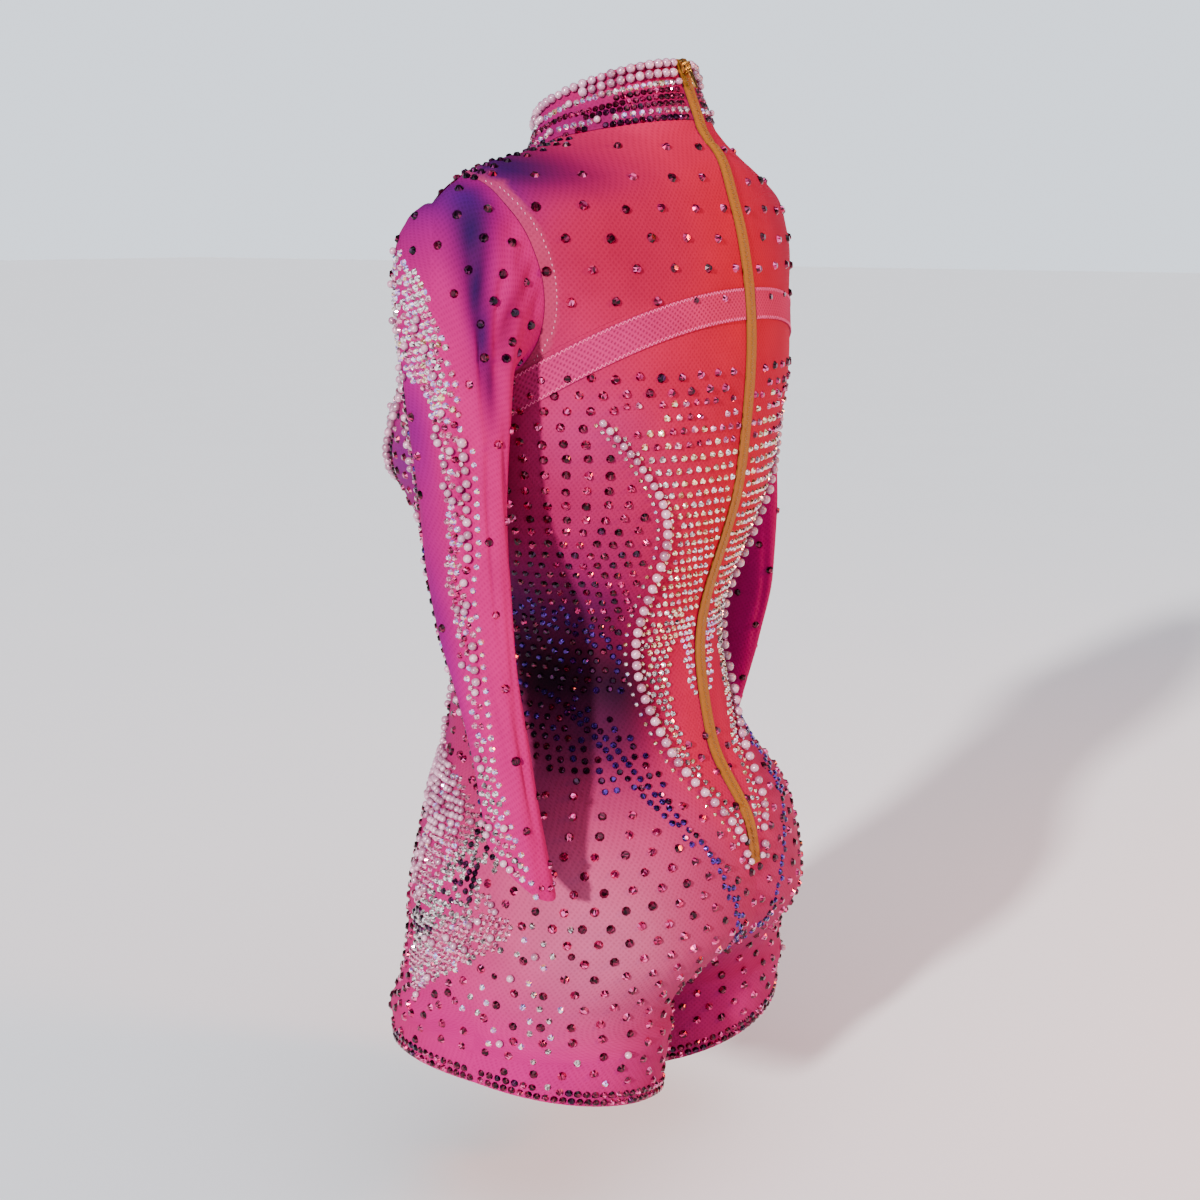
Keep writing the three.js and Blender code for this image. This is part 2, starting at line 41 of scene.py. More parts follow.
# The suit's own sizes are in millimetres, as in the CAD source; meshes are made in metres.
mm = 0.001
dice = np.random.default_rng(7)

body = {
    "neckMid": -22, "frontDrop": 22,
    "armTop": -50, "armLow": -184, "armMiddle": -7, "armReach": 53,
    "seat": -556, "crotch": -636, "crotchY": -2, "crotchSharpness": 2.2,
    "hemSide": -658, "inseamBack": -714, "inseamFront": -694, "frontLift": 4,
    "legInset": 7, "roundness": 2.3, "legRoundness": 2.1,
    "legFront": (122, 116), "legBack": (94, 86),
    "cup": (66, -233, 42, 46, 26), "seatLobe": (72, -560, 46, 52, 7),
    "axisY": -4, "legAxisX": 85,
    "seamGap": 0.02, "layerGap": 0.35, "zipOpening": 1.5, "zipEnd": -521,
    "columns": 56, "neckRows": 8, "armRows": 44, "sideRows": 95, "seatRows": 22, "legRows": 16,
    "wall": 0.9, "weld": 0.02,
}

# z, half width, front depth, back depth, y of the side seam
figure = [
    (4, 57, 50, 60, -2), (-22, 62, 58, 67, -2), (-32, 98, 66, 69, -2), (-40, 138, 74, 72, -3),
    (-50, 171, 82, 77, -4), (-66, 179, 90, 85, -5), (-100, 177, 100, 93, -6), (-140, 169, 111, 101, -6),
    (-184, 155, 121, 107, -6), (-232, 150, 130, 110, -5), (-290, 127, 120, 104, -6),
    (-368, 88, 124, 73, -10), (-440, 112, 116, 84, -8), (-500, 150, 121, 116, -5),
    (-556, 165, 127, 121, -4), (-640, 168, 130, 103, -4), (-760, 158, 112, 80, -4),
]

# z, rise to the centre back, sag behind the shoulder, sag before it
rowRun = [
    (-22, 11, 0, 0), (-50, 24, 22, 16), (-100, 41, 12, 8), (-150, 57, 0, 0), (-220, 70, 0, 0),
    (-368, 0, 0, 0),
]


def smooth(x, start, end):
    t = np.clip((np.asarray(x, float) - start) / (end - start), 0, 1)
    return t * t * (3 - 2 * t)


def bell(distance, width):
    return np.exp(-0.5 * (distance / width) ** 2)


# How many degrees apart two bearings are, the shorter way round.
def apart(turn, at):
    return np.abs((turn - at + 540) % 360 - 180)


# The length run along a line of points, from 0 at the first one.
def runOf(points):
    return np.concatenate([[0], np.cumsum(np.linalg.norm(np.diff(points, axis=0), axis=1))])


# Reads a line of points at one place or many. places says where along it each point is.
def readAt(place, places, points):
    return np.stack([np.interp(place, places, points[:, k]) for k in range(points.shape[1])], -1)


def unit(vectors):
    return vectors / np.linalg.norm(vectors, axis=-1, keepdims=True)


# A smooth curve through one column of a table that never overshoots its rows.
def column(table, which):
    ordered = sorted(table)
    at = np.array([row[0] for row in ordered], float)
    value = np.array([row[which] for row in ordered], float)
    rise = np.diff(value) / np.diff(at)
    slope = np.zeros(len(at))
    slope[0], slope[-1] = rise[0], rise[-1]
    for i in range(1, len(at) - 1):
        if rise[i - 1] * rise[i] > 0:
            slope[i] = 2 / (1 / rise[i - 1] + 1 / rise[i])

    def curve(x):
        x = np.clip(np.asarray(x, float), at[0], at[-1])
        i = np.clip(np.searchsorted(at, x) - 1, 0, len(at) - 2)
        span = at[i + 1] - at[i]
        t = (x - at[i]) / span
        start = (1 + 2 * t) * (1 - t) ** 2 * value[i] + t * (1 - t) ** 2 * span * slope[i]
        return start + t * t * (3 - 2 * t) * value[i + 1] + t * t * (t - 1) * span * slope[i + 1]

    return curve


halfWidth, frontDepth, backDepth, sideY = (column(figure, i) for i in (1, 2, 3, 4))
riseAt, backSag, frontSag = (column(rowRun, i) for i in (1, 2, 3))


def rowHeight(facing, sideZ, turn):
    drop = -body["frontDrop"] * smooth(sideZ, body["armLow"], body["neckMid"])
    slope = riseAt(sideZ) if facing > 0 else drop
    sag = backSag(sideZ) if facing > 0 else frontSag(sideZ)
    z = sideZ + slope * np.cos(turn * math.pi / 2) - sag * np.sin(math.pi * turn)
    share = np.maximum(body["crotch"] - sideZ, 0) / (body["crotch"] - body["hemSide"])
    inseam = body["inseamBack"] if facing > 0 else body["inseamFront"]
    lift = 0 if facing > 0 else body["frontLift"] * np.sin(math.pi * turn)
    return z + share * ((inseam - body["hemSide"]) * (1 - turn) ** 1.3 + lift)


# facing is 1 for the back and -1 for the front; turn is 0 at the centre line, 1 at the side seam.
def rowPoint(facing, sideZ, turn):
    z = rowHeight(facing, sideZ, turn)
    angle = turn * math.pi / 2
    side = sideY(sideZ)
    depth = backDepth(sideZ) if facing > 0 else -frontDepth(sideZ)
    power = 2 / body["roundness"]
    x = halfWidth(sideZ) * np.sin(angle) ** power
    y = side + (depth - side) * np.maximum(np.cos(angle), 0) ** power
    out, height, wide, tall, deep = body["cup"] if facing < 0 else body["seatLobe"]
    y = y + facing * deep * bell(x - out, wide) * bell(z - height, tall)
    drop = np.clip((body["seat"] - sideZ) / (body["seat"] - body["crotch"]), 0, 1)
    below = np.maximum(body["crotch"] - sideZ, 0) / (body["crotch"] - body["hemSide"])
    inner = body["legInset"] * below
    outer = halfWidth(sideZ)
    high, low = body["legBack"] if facing > 0 else body["legFront"]
    wall = facing * (high + (low - high) * below)
    spin = math.pi * turn
    legPower = 2 / body["legRoundness"]
    across = -np.sign(np.cos(spin)) * np.abs(np.cos(spin)) ** legPower
    legX = (inner + outer) / 2 + (outer - inner) / 2 * across
    bulge = np.maximum(np.sin(spin), 0) ** legPower
    legY = body["crotchY"] + (side - body["crotchY"]) * turn + wall * bulge
    share = drop ** body["crotchSharpness"]
    return np.stack([x + (legX - x) * share, y + (legY - y) * share, z + 0 * x], -1)


armCentre = (body["armTop"] + body["armLow"]) / 2
armHalf = (body["armTop"] - body["armLow"]) / 2


# How far a row runs before the armhole cuts it, as a share of the way to the side seam.
def rowEnd(facing, sideZ):
    outside, inside = np.full(len(sideZ), 0.2), np.ones(len(sideZ))
    for step in range(40):
        turn = (outside + inside) / 2
        p = rowPoint(facing, sideZ, turn)
        across, up = (p[:, 1] - body["armMiddle"]) / body["armReach"], (p[:, 2] - armCentre) / armHalf
        hole = across ** 2 + up ** 2
        inside = np.where(hole < 1, turn, inside)
        outside = np.where(hole < 1, outside, turn)
    crosses = np.abs(sideZ - armCentre) < armHalf - 0.01
    return np.where(crosses, (outside + inside) / 2, 1.0)


def steps(start, end, count):
    return list(np.linspace(start, end, count + 1)[1:])


rows = np.array(
    [body["neckMid"]]
    + steps(body["neckMid"], body["armTop"], body["neckRows"])
    + [armCentre + armHalf * math.cos(math.pi * t) for t in steps(0, 1, body["armRows"])]
    + steps(body["armLow"], body["seat"], body["sideRows"])
    + steps(body["seat"], body["crotch"], body["seatRows"])
    + steps(body["crotch"], body["hemSide"], body["legRows"])
)
firstArm = body["neckRows"]
lastArm = firstArm + body["armRows"]
crotchRow = len(rows) - 1 - body["legRows"]

# Front and back meet at these rows' ends, down each shoulder and each side.
sewn = np.ones(len(rows), bool)
sewn[firstArm + 1:lastArm] = False


def panelGrid(facing):
    ends = rowEnd(facing, rows)
    turn = ends[:, None] * np.linspace(0, 1, body["columns"] + 1)[None, :]
    grid = rowPoint(facing, rows[:, None] + 0 * turn, turn)
    half = facing * body["seamGap"] / 2
    grid[sewn, -1, 1] += half
    grid[crotchRow:, 0, 1] += half
    if facing > 0:
        zipped = grid[:crotchRow + 1, 0, 2] > body["zipEnd"]
        grid[:crotchRow + 1, 0, 0] = np.where(zipped, body["zipOpening"], body["seamGap"] / 2)
    return grid


def gridNormals(grid, outwards):
    down = np.gradient(grid, axis=0)
    across = np.gradient(grid, axis=1)
    normal = np.cross(down, across)
    normal /= np.maximum(np.linalg.norm(normal, axis=-1, keepdims=True), 1e-9)
    return normal * np.sign((normal * outwards).sum(-1, keepdims=True) + 1e-12)


def along(grid):
    length = np.linalg.norm(np.diff(grid, axis=1), axis=-1)
    return np.concatenate([np.zeros((len(grid), 1)), np.cumsum(length, 1)], 1)


# Soft troughs (depth over 0) and ridges (under 0) that the cloth holds, each by the points it
# runs through on the left half, its width and its depth. They fade out at both ends.
torsoFolds = [
    ([(165, 45, -92), (158, 60, -120), (150, 70, -150)], 5, 2.2),
    ([(150, 66, -88), (146, 76, -116), (142, 80, -140)], 6, -1.2),
    ([(158, 52, -168), (150, 62, -190), (136, 78, -214)], 6, 1.8),
    ([(150, 30, -205), (146, 52, -226), (132, 74, -238)], 7, 1.6),
    ([(122, 30, -300), (112, 52, -312), (92, 70, -318)], 7, 1.5),
    ([(104, 10, -338), (100, 32, -346), (84, 54, -350)], 6, 1.7),
    ([(94, 10, -372), (88, 40, -380), (70, 58, -384)], 6, 1.6),
    ([(104, -30, -352), (96, -60, -362), (70, -92, -366)], 8, 1.8),
    ([(108, -20, -398), (98, -66, -408), (60, -104, -412)], 8, 1.5),
    ([(166, 20, -540), (150, 62, -548), (112, 96, -551)], 5, 1.3),
    ([(166, -10, -560), (156, -60, -566), (120, -110, -570)], 6, 1.3),
    ([(160, 50, -600), (130, 82, -606), (90, 100, -612)], 5, 1.1),
    ([(166, 12, -632), (146, 64, -640), (104, 84, -650)], 4.5, 1.2),
    ([(160, -40, -628), (120, -100, -634), (70, -122, -640)], 5, 1.2),
    ([(20, 96, -596), (34, 100, -622), (60, 90, -646)], 6, 1.6),
    ([(12, 60, -640), (30, 78, -660), (60, 84, -672)], 5, 1.4),
    ([(8, 98, -545), (16, 104, -572), (14, 92, -604)], 6, 2.0),
    ([(146, -40, -130), (150, -66, -160), (138, -90, -180)], 6, 2.0),
    ([(140, -66, -112), (132, -86, -134), (120, -100, -150)], 6, 1.5),
    ([(30, -112, -180), (40, -124, -200), (52, -132, -214)], 7, 1.3),
    ([(10, -122, -250), (30, -132, -262), (60, -134, -270)], 7, 1.4),
    ([(60, -118, -306), (84, -100, -322), (100, -80, -330)], 8, 1.5),
]


def foldDepth(points, folds):
    depth = np.zeros(points.shape[:-1])
    for path, wide, deep in folds:
        path = np.array(path, float)
        legs = np.linalg.norm(np.diff(path, axis=0), axis=1)
        total, gone = legs.sum(), 0
        best = np.full(points.shape[:-1], 1e9)
        place = np.zeros(points.shape[:-1])
        for start, end, leg in zip(path[:-1], path[1:], legs):
            t = np.clip(((points - start) @ (end - start)) / leg ** 2, 0, 1)
            gap = np.linalg.norm(points - (start + t[..., None] * (end - start)), axis=-1)
            place = np.where(gap < best, (gone + t * leg) / total, place)
            best = np.minimum(best, gap)
            gone += leg
        faded = np.sin(math.pi * (0.06 + 0.88 * place)) ** 0.8
        depth += deep * np.exp(-(best / wide) ** 2) * faded
    return depth


def skinOf(facing):
    grid = panelGrid(facing)
    axis = np.stack([grid[..., 0], grid[..., 1] - body["axisY"], 0 * grid[..., 0]], -1)
    axis[rows < body["crotch"], :, 0] -= body["legAxisX"]
    normal = gridNormals(grid, axis)
    if facing < 0:
        normal[:crotchRow + 1, 0, 0] = 0
        normal = unit(normal)
    depth = foldDepth(grid, torsoFolds)
    if facing > 0:
        depth[:, :2] = 0
    grid = grid - normal * depth[..., None]
    return {"grid": grid, "normal": gridNormals(grid, axis), "arc": along(grid)}


skins = {"back": skinOf(1), "front": skinOf(-1)}

for part in ("grid", "normal"):
    shared = (skins["back"][part][sewn, -1] + skins["front"][part][sewn, -1]) / 2
    for skin in skins.values():
        skin[part][sewn, -1] = shared
for skin in skins.values():
    skin["arc"] = along(skin["grid"])
print("body form ready", len(rows), "rows")

finder = {"step": 2.0}


def sampled(skin):
    widest = skin["arc"][:, -1].max()
    at = np.arange(0, widest + finder["step"], finder["step"])
    count = len(rows)
    spots, normals = np.zeros((len(at), count, 3)), np.zeros((len(at), count, 3))
    for r in range(count):
        spots[:, r] = readAt(at, skin["arc"][r], skin["grid"][r])
        normals[:, r] = readAt(at, skin["arc"][r], skin["normal"][r])
    skin["spots"], skin["normals"] = spots, normals
    skin["inside"] = at[:, None] <= skin["arc"][None, :, -1] + 0.01


for skin in skins.values():
    sampled(skin)


# A point of the left half, by how far round it is from the panel's centre line and how high.
def onPanel(which, around, z):
    skin = skins[which]
    k = around / finder["step"]
    k0 = int(k)
    if k0 < 0 or k0 + 1 >= len(skin["spots"]):
        return None
    f = k - k0
    line = skin["spots"][k0] * (1 - f) + skin["spots"][k0 + 1] * f
    i = int(np.searchsorted(-line[:, 2], -z)) - 1
    if i < 0 or i + 1 >= len(line):
        return None
    if not (skin["inside"][k0 + 1, i] and skin["inside"][k0 + 1, i + 1]):
        return None
    g = (line[i, 2] - z) / max(line[i, 2] - line[i + 1, 2], 1e-6)
    turned = skin["normals"][k0] * (1 - f) + skin["normals"][k0 + 1] * f
    normal = turned[i] * (1 - g) + turned[i + 1] * g
    return line[i] * (1 - g) + line[i + 1] * g, unit(normal)


# The same, counted from the centre back all the way round to the centre front.
def onBody(around, z):
    back = np.interp(-z, -rows, skins["back"]["arc"][:, -1])
    front = np.interp(-z, -rows, skins["front"]["arc"][:, -1])
    if around <= back - 1:
        return onPanel("back", around, z)
    return onPanel("front", min(back + front - around, front - 1.5), z)


def hexToLinear(value):
    value = value.lstrip("#")
    parts = [int(value[i:i + 2], 16) / 255 for i in (0, 2, 4)]
    return np.array([c / 12.92 if c <= 0.04045 else ((c + 0.055) / 1.055) ** 2.4 for c in parts])


def makeObject(name, points, faces, smoothFaces=True):
    mesh = bpy.data.meshes.new(name)
    mesh.from_pydata([tuple(p) for p in np.asarray(points) * mm], [], faces)
    mesh.update()
    made = bpy.data.objects.new(name, mesh)
    bpy.context.scene.collection.objects.link(made)
    mesh.polygons.foreach_set("use_smooth", [smoothFaces] * len(mesh.polygons))
    return made


def paintOn(mesh, name, domain, colours):
    tint = mesh.color_attributes.new(name, "FLOAT_COLOR", domain)
    tint.data.foreach_set("color", np.concatenate([colours, np.ones((len(colours), 1))], 1).ravel())


def openMesh(action):
    bpy.ops.object.mode_set(mode="EDIT")
    bpy.ops.mesh.select_all(action=action)


def closeMesh():
    bpy.ops.object.mode_set(mode="OBJECT")


# Joins grids of points into one surface. Each grid is (points, uv, colours, turned over).
def clothObject(name, grids, wall, weld=0.0):
    points, faces, uv, dye = [], [], [], []
    for grid, flat, colour, flip in grids:
        high, wide = grid.shape[:2]
        start = len(points)
        points.extend(grid.reshape(-1, 3))
        uv.extend(flat.reshape(-1, 2))
        dye.extend(colour.reshape(-1, 3))
        index = start + np.arange(high * wide).reshape(high, wide)
        quads = np.stack([index[:-1, :-1], index[1:, :-1], index[1:, 1:], index[:-1, 1:]], -1)
        faces.extend(quads.reshape(-1, 4)[:, ::-1 if flip else 1].tolist())
    made = makeObject(name, points, faces)
    mesh = made.data
    corner = np.zeros(len(mesh.loops), int)
    mesh.loops.foreach_get("vertex_index", corner)
    mesh.uv_layers.new(name="cloth").data.foreach_set("uv", (np.array(uv)[corner] * mm).ravel())
    paintOn(mesh, "dye", "POINT", dye)
    for other in bpy.context.selected_objects:
        other.select_set(False)
    made.select_set(True)
    bpy.context.view_layer.objects.active = made
    if weld:
        openMesh("SELECT")
        bpy.ops.mesh.remove_doubles(threshold=weld * mm)
        closeMesh()
    thick = made.modifiers.new("wall", "SOLIDIFY")
    thick.thickness = wall * mm
    thick.offset = -1
    bpy.ops.object.modifier_apply(modifier=thick.name)
    # the cut edges turn sharply, so that the shading of the face runs on across each seam
    openMesh("DESELECT")
    bpy.ops.mesh.edges_select_sharp(sharpness=math.radians(50))
    bpy.ops.mesh.mark_sharp()
    closeMesh()
    return made


# The dye, sprayed on in soft patches, with some patches of painted shade where the sleeves' shadow
# falls. Each is the way round from the centre back, the height, how far it spreads both ways, its colour and
# how strong it is; later ones lie over earlier ones.
torsoDyeAndShade = {
    "ground": "#d8247a",
    "patches": [
        (0, -120, 130, 150, "#f40238", 0.97),
        (0, -300, 75, 100, "#f6042f", 0.95),
        (112, -95, 66, 50, "#c61450", 0.9),
        (66, -190, 55, 40, "#e4084e", 0.7),
        (150, -215, 60, 34, "#de3488", 0.85),
        (130, -262, 60, 36, "#c02468", 0.7),
        (110, -300, 44, 30, "#cc2c78", 0.7),
        # painted shadow: a dark maroon strip down the side next to the sleeve, where the sleeve's shadow
        # falls
        (222, -262, 34, 70, "#8a0838", 0.85),
        (172, -44, 62, 18, "#2e0a60", 1.0),
        (196, -62, 26, 24, "#5a0c80", 0.8),
        (188, -345, 74, 50, "#4c1068", 0.95),
        (104, -338, 44, 26, "#5a1660", 0.75),
        # partly the waist's own dark purple dye, partly painted shade: near black where the arm's shadow
        # falls across the waist
        (122, -388, 76, 48, "#0a0212", 1.0),
        (76, -394, 32, 36, "#120222", 0.97),
        (98, -424, 36, 24, "#300638", 0.8),
        (150, -440, 60, 34, "#6a1048", 0.6),
        (18, -440, 28, 84, "#f40a5c", 0.95),
        (140, -560, 96, 80, "#e4709e", 0.92),
        (60, -560, 40, 70, "#d83c80", 0.8),
        (80, -650, 90, 40, "#d01080", 0.8),
        (250, -640, 110, 60, "#e00490", 0.9),
        (290, -520, 50, 60, "#c40a86", 0.6),
        (300, -430, 50, 40, "#6a1480", 0.85),
        (330, -330, 60, 46, "#3c0c80", 0.9),
        (320, -240, 60, 40, "#5c1090", 0.7),
        (440, -150, 80, 60, "#d80a78", 0.7),
        (440, -480, 70, 60, "#d80a60", 0.7),
    ],
}
# How deep the bath dyed the cloth: every dye's brightness is taken down by this.
dyeDepth = 0.37


def dyeAndShadeOn(around, z, recipe):
    colour = np.zeros(around.shape + (3,)) + hexToLinear(recipe["ground"])
    for at, height, wide, tall, tint, strength in recipe["patches"]:
        share = strength * np.exp(-((around - at) / wide) ** 2 - ((z - height) / tall) ** 2)
        colour += share[..., None] * (hexToLinear(tint) - colour)
    return colour * dyeDepth


# The seam allowance behind the armhole shows through as a paler strip.
allowance = {"wide": 9, "soft": 1.2, "colour": "#c0406c", "paler": 1.3, "strength": 0.7}


def torsoColour(which):
    skin = skins[which]
    arc, z = skin["arc"], skin["grid"][..., 2]
    backEnd = skins["back"]["arc"][:, -1:]
    around = arc if which == "back" else backEnd + skins["front"]["arc"][:, -1:] - arc
    colour = dyeAndShadeOn(around, z, torsoDyeAndShade)
    edge = skin["grid"][firstArm:lastArm + 1, -1]
    gap = np.full(z.shape, 1e9)
    for spot in edge[::2]:
        gap = np.minimum(gap, np.linalg.norm(skin["grid"] - spot, axis=-1))
    wide, soft = allowance["wide"], allowance["soft"]
    share = allowance["strength"] * (1 - smooth(gap, wide - soft, wide + soft))
    pale = hexToLinear(allowance["colour"]) * dyeDepth * allowance["paler"]
    return colour + share[..., None] * (pale - colour)


flipX = np.array([-1, 1, 1])
sides = ((1, "left"), (-1, "right"))
pieces = {}


def onSide(grid, side):
    return grid if side > 0 else grid * flipX


def flatOf(skin, sign=1):
    return np.stack([sign * skin["arc"], skin["grid"][..., 2]], -1)


# A piece of the left half and its mirror image, as two pieces of cloth.
def clothPair(node, name, grid, flats, tone, wall):
    for (side, place), flat in zip(sides, flats):
        pieces[node + place] = clothObject(name + place, [(onSide(grid, side), flat, tone, side > 0)], wall)


# A piece of the left half joined to its mirror image at the centre front.
def clothWhole(node, name, grid, flats, tone, wall):
    pieces[node] = clothObject(
        name, [(grid, flats[0], tone, False), (grid * flipX, flats[1], tone, True)], wall, weld=body["weld"])


flats = {which: [flatOf(skin), flatOf(skin, -1)] for which, skin in skins.items()}
clothWhole("front", "front_panel", skins["front"]["grid"], flats["front"], torsoColour("front"), body["wall"])
clothPair("back_", "back_panel_", skins["back"]["grid"], flats["back"], torsoColour("back"), body["wall"])
print("torso panels made")

# share, topX, topZ, lowX, lowZ, half width, y of the left sleeve, y of the right one
sleeveRings = [
    (171, -50, 155, -184, 53, -7, -7), (187, -58, 158, -187, 50, -6, -7),
    (198, -76, 161, -193, 48, -5, -7), (205, -106, 163, -203, 46, -4, -6),
    (207, -146, 166, -217, 44, -2, -5), (206, -192, 168, -240, 40, 0, -3),
    (204, -240, 170, -270, 36, 3, 0), (202, -292, 172, -310, 34, 8, 3),
    (201, -342, 174, -352, 31, 16, 3), (202, -390, 173, -395, 27, 28, -4),
    (203, -436, 172, -439, 25, 39, -16), (204, -484, 171, -485, 26, 49, -32),
]
sleeveTable = [(i / (len(sleeveRings) - 1),) + ring for i, ring in enumerate(sleeveRings)]
ringAt = [column(sleeveTable, i) for i in range(1, 8)]
sleeve = {"rings": 120, "crowding": 1.15, "cuffPoint": 20, "pointFrom": 0.55, "sewnOver": 0.16}

# where round the ring, how wide in degrees, how deep, and the start, peak and end along it
sleeveTroughs = [
    (36, 15, 9, 0.12, 0.34, 0.85), (72, 13, 8, 0.1, 0.32, 0.7), (342, 15, 7, 0.14, 0.4, 0.95),
    (288, 15, 8, 0.12, 0.34, 0.8), (198, 17, 5, 0.2, 0.45, 0.9),
]

# Finer creases along and across the sleeve: round, share, length in share, width in degrees,
# slant in degrees over its length, and depth.
sleeveCreases = {
    "left": [
        (56, 0.3, 0.36, 5, 14, 4.6), (86, 0.26, 0.32, 5, -12, 4.0), (20, 0.34, 0.3, 5, 8, 1.4),
        (100, 0.5, 0.28, 5, 18, 2.6), (64, 0.6, 0.34, 5, -10, 2.4),
        (38, 0.23, 0.22, 3.5, 26, 2.6), (72, 0.2, 0.24, 3.5, 18, 2.8), (28, 0.55, 0.4, 4.5, 6, 1.8),
        (84, 0.76, 0.4, 5, -8, 1.4), (44, 0.78, 0.26, 6, 12, 1.3),
        (78, 0.84, 0.22, 6, 16, 1.4), (112, 0.7, 0.24, 6, -14, 1.5), (8, 0.68, 0.22, 6, -10, 1.1),
        (140, 0.2, 0.22, 6, 20, 1.6), (160, 0.5, 0.3, 7, 22, 1.6), (210, 0.4, 0.26, 6, -16, 1.8),
        (236, 0.22, 0.2, 6, 12, 1.8), (262, 0.34, 0.28, 5, 10, 1.6), (300, 0.22, 0.2, 5, 8, 1.3),
        (250, 0.66, 0.26, 6, -18, 1.5), (310, 0.6, 0.24, 6, 10, 1.2), (180, 0.76, 0.2, 7, -12, 1.4),
    ],
    "right": [
        (50, 0.28, 0.32, 5, 10, 4.2), (84, 0.3, 0.34, 5, -14, 3.9), (24, 0.4, 0.26, 5, 10, 1.5),
        (104, 0.46, 0.28, 6, 16, 1.5), (60, 0.6, 0.24, 5, -12, 1.6), (40, 0.8, 0.22, 6, 10, 1.4),
        (120, 0.74, 0.26, 6, -16, 1.5), (150, 0.24, 0.24, 6, 18, 1.7), (170, 0.56, 0.24, 7, 16, 1.4),
        (214, 0.36, 0.3, 6, -12, 1.8), (240, 0.26, 0.22, 5, 14, 1.7), (270, 0.4, 0.26, 5, 8, 1.5),
        (298, 0.26, 0.22, 6, 10, 1.4), (256, 0.7, 0.24, 6, -14, 1.5), (318, 0.64, 0.22, 6, 8, 1.1),
    ],
}


# Short puckers where the sleeve is eased into the armhole: round, width in degrees and depth.
sleevePuckers = [
    (8, 4, 1.0), (24, 3.5, 1.5), (38, 3, 1.1), (57, 4, 1.6), (74, 3, 1.2), (92, 4.5, 1.5), (113, 4, 1.0),
    (300, 4, 1.1), (316, 3.5, 1.4), (333, 4, 1.0), (350, 3, 1.3), (260, 4, 1.2), (226, 5, 1.3),
    (150, 5, 1.2),
]


def hungSleeve(share, degreesRound, side):
    topX, topZ, lowX, lowZ, wide, leftY, rightY = (at(share) for at in ringAt)
    angle = np.radians(degreesRound)
    y = leftY if side > 0 else rightY
    middle = np.stack([(topX + lowX) / 2, y, (topZ + lowZ) / 2], -1)
    cos, sin = np.cos(angle), np.sin(angle)
    reach = np.stack([(topX - lowX) / 2 * cos, wide * sin, (topZ - lowZ) / 2 * cos], -1)
    depth = 0
    for at, spread, deep, start, peak, end in sleeveTroughs:
        grown = smooth(share, start, peak) * (1 - 0.75 * smooth(share, peak, end))
        depth = depth + deep * grown * bell(apart(degreesRound, at), spread)
    for at, centre, run, spread, slant, deep in sleeveCreases["left" if side > 0 else "right"]:
        offset = (share - centre) / (run / 2)
        gap = apart(degreesRound, at + slant * offset / 2)
        depth = depth + deep * np.maximum(1 - offset ** 2, 0) ** 1.5 * bell(gap, spread)
    for at, spread, deep in sleevePuckers:
        grown = smooth(share, 0.0, 0.05) * (1 - smooth(share, 0.06, 0.2))
        depth = depth + deep * grown * bell(apart(degreesRound, at * (1 + 0.02 * side)), spread)
    length = np.linalg.norm(reach, axis=-1)
    reach = reach * (np.maximum(length - depth, 4) / length)[..., None]
    reach[..., 2] -= sleeve["cuffPoint"] * sin * smooth(share, sleeve["pointFrom"], 1)
    return middle + reach


def armholeLoop():
    back = skins["back"]["grid"][firstArm:lastArm + 1, -1]
    front = skins["front"]["grid"][firstArm:lastArm + 1, -1][1:-1][::-1]
    return np.concatenate([back, front])


def sleeveGrid(side):
    loop = armholeLoop()
    centre = loop.mean(0)
    inward = centre - loop
    inward[:, 0] = 0
    inward *= body["layerGap"] / np.linalg.norm(inward, axis=1, keepdims=True)
    count = len(loop)
    turned = np.arange(count + 1) * 360 / count
    share = (np.arange(sleeve["rings"] + 1) / sleeve["rings"]) ** sleeve["crowding"]
    shares = share[:, None] + 0 * turned[None, :]
    hung = hungSleeve(shares, turned[None, :] + 0 * shares, side)
    start = hungSleeve(0 * turned, turned, side)
    sewn = np.concatenate([loop + inward, (loop + inward)[:1]])
    own = 1 - smooth(share, 0, sleeve["sewnOver"])
    return hung + own[:, None, None] * (sewn - start)[None], shares, turned


# The sleeve's dye, with painted light on its inner side, by the way round it in degrees and the share of its
# length.
sleeveDyeAndLight = {
    "ground": "#e2018c",
    "patches": [
        (318, 0.47, 24, 0.1, "#4c0a98", 0.95),
        (312, 0.7, 26, 0.13, "#7c1098", 0.85),
        # painted light: a brighter patch on both sleeves' inner side, which faces the body and lies in its
        # shade
        (190, 0.5, 62, 0.6, "#ff0a90", 0.9),
        (300, 0.3, 50, 0.25, "#d41484", 0.6),
        (76, 0.6, 60, 0.5, "#e4047c", 0.6),
        (320, 0.62, 40, 0.2, "#b00a70", 0.5),
        (250, 0.25, 40, 0.2, "#6a0c8a", 0.6),
        (350, 0.1, 50, 0.15, "#6c0c78", 0.95),
        (20, 0.1, 22, 0.08, "#4a0880", 0.9),
        (32, 0.17, 18, 0.09, "#2c0458", 0.97),
        (46, 0.25, 13, 0.08, "#2c0458", 0.97),
        (60, 0.31, 12, 0.07, "#3c0460", 0.95),
        (72, 0.37, 10, 0.06, "#560450", 0.8),
        (88, 0.22, 9, 0.1, "#8a0448", 0.7),
    ],
}


def sleeveColour(shares, turned, recipe):
    colour = np.zeros(shares.shape + (3,)) + hexToLinear(recipe["ground"])
    for at, centre, spread, run, tint, strength in recipe["patches"]:
        gap = apart(turned[None, :], at)
        share = strength * np.exp(-(gap / spread) ** 2 - ((shares - centre) / run) ** 2)
        colour += share[..., None] * (hexToLinear(tint) - colour)
    return colour * dyeDepth


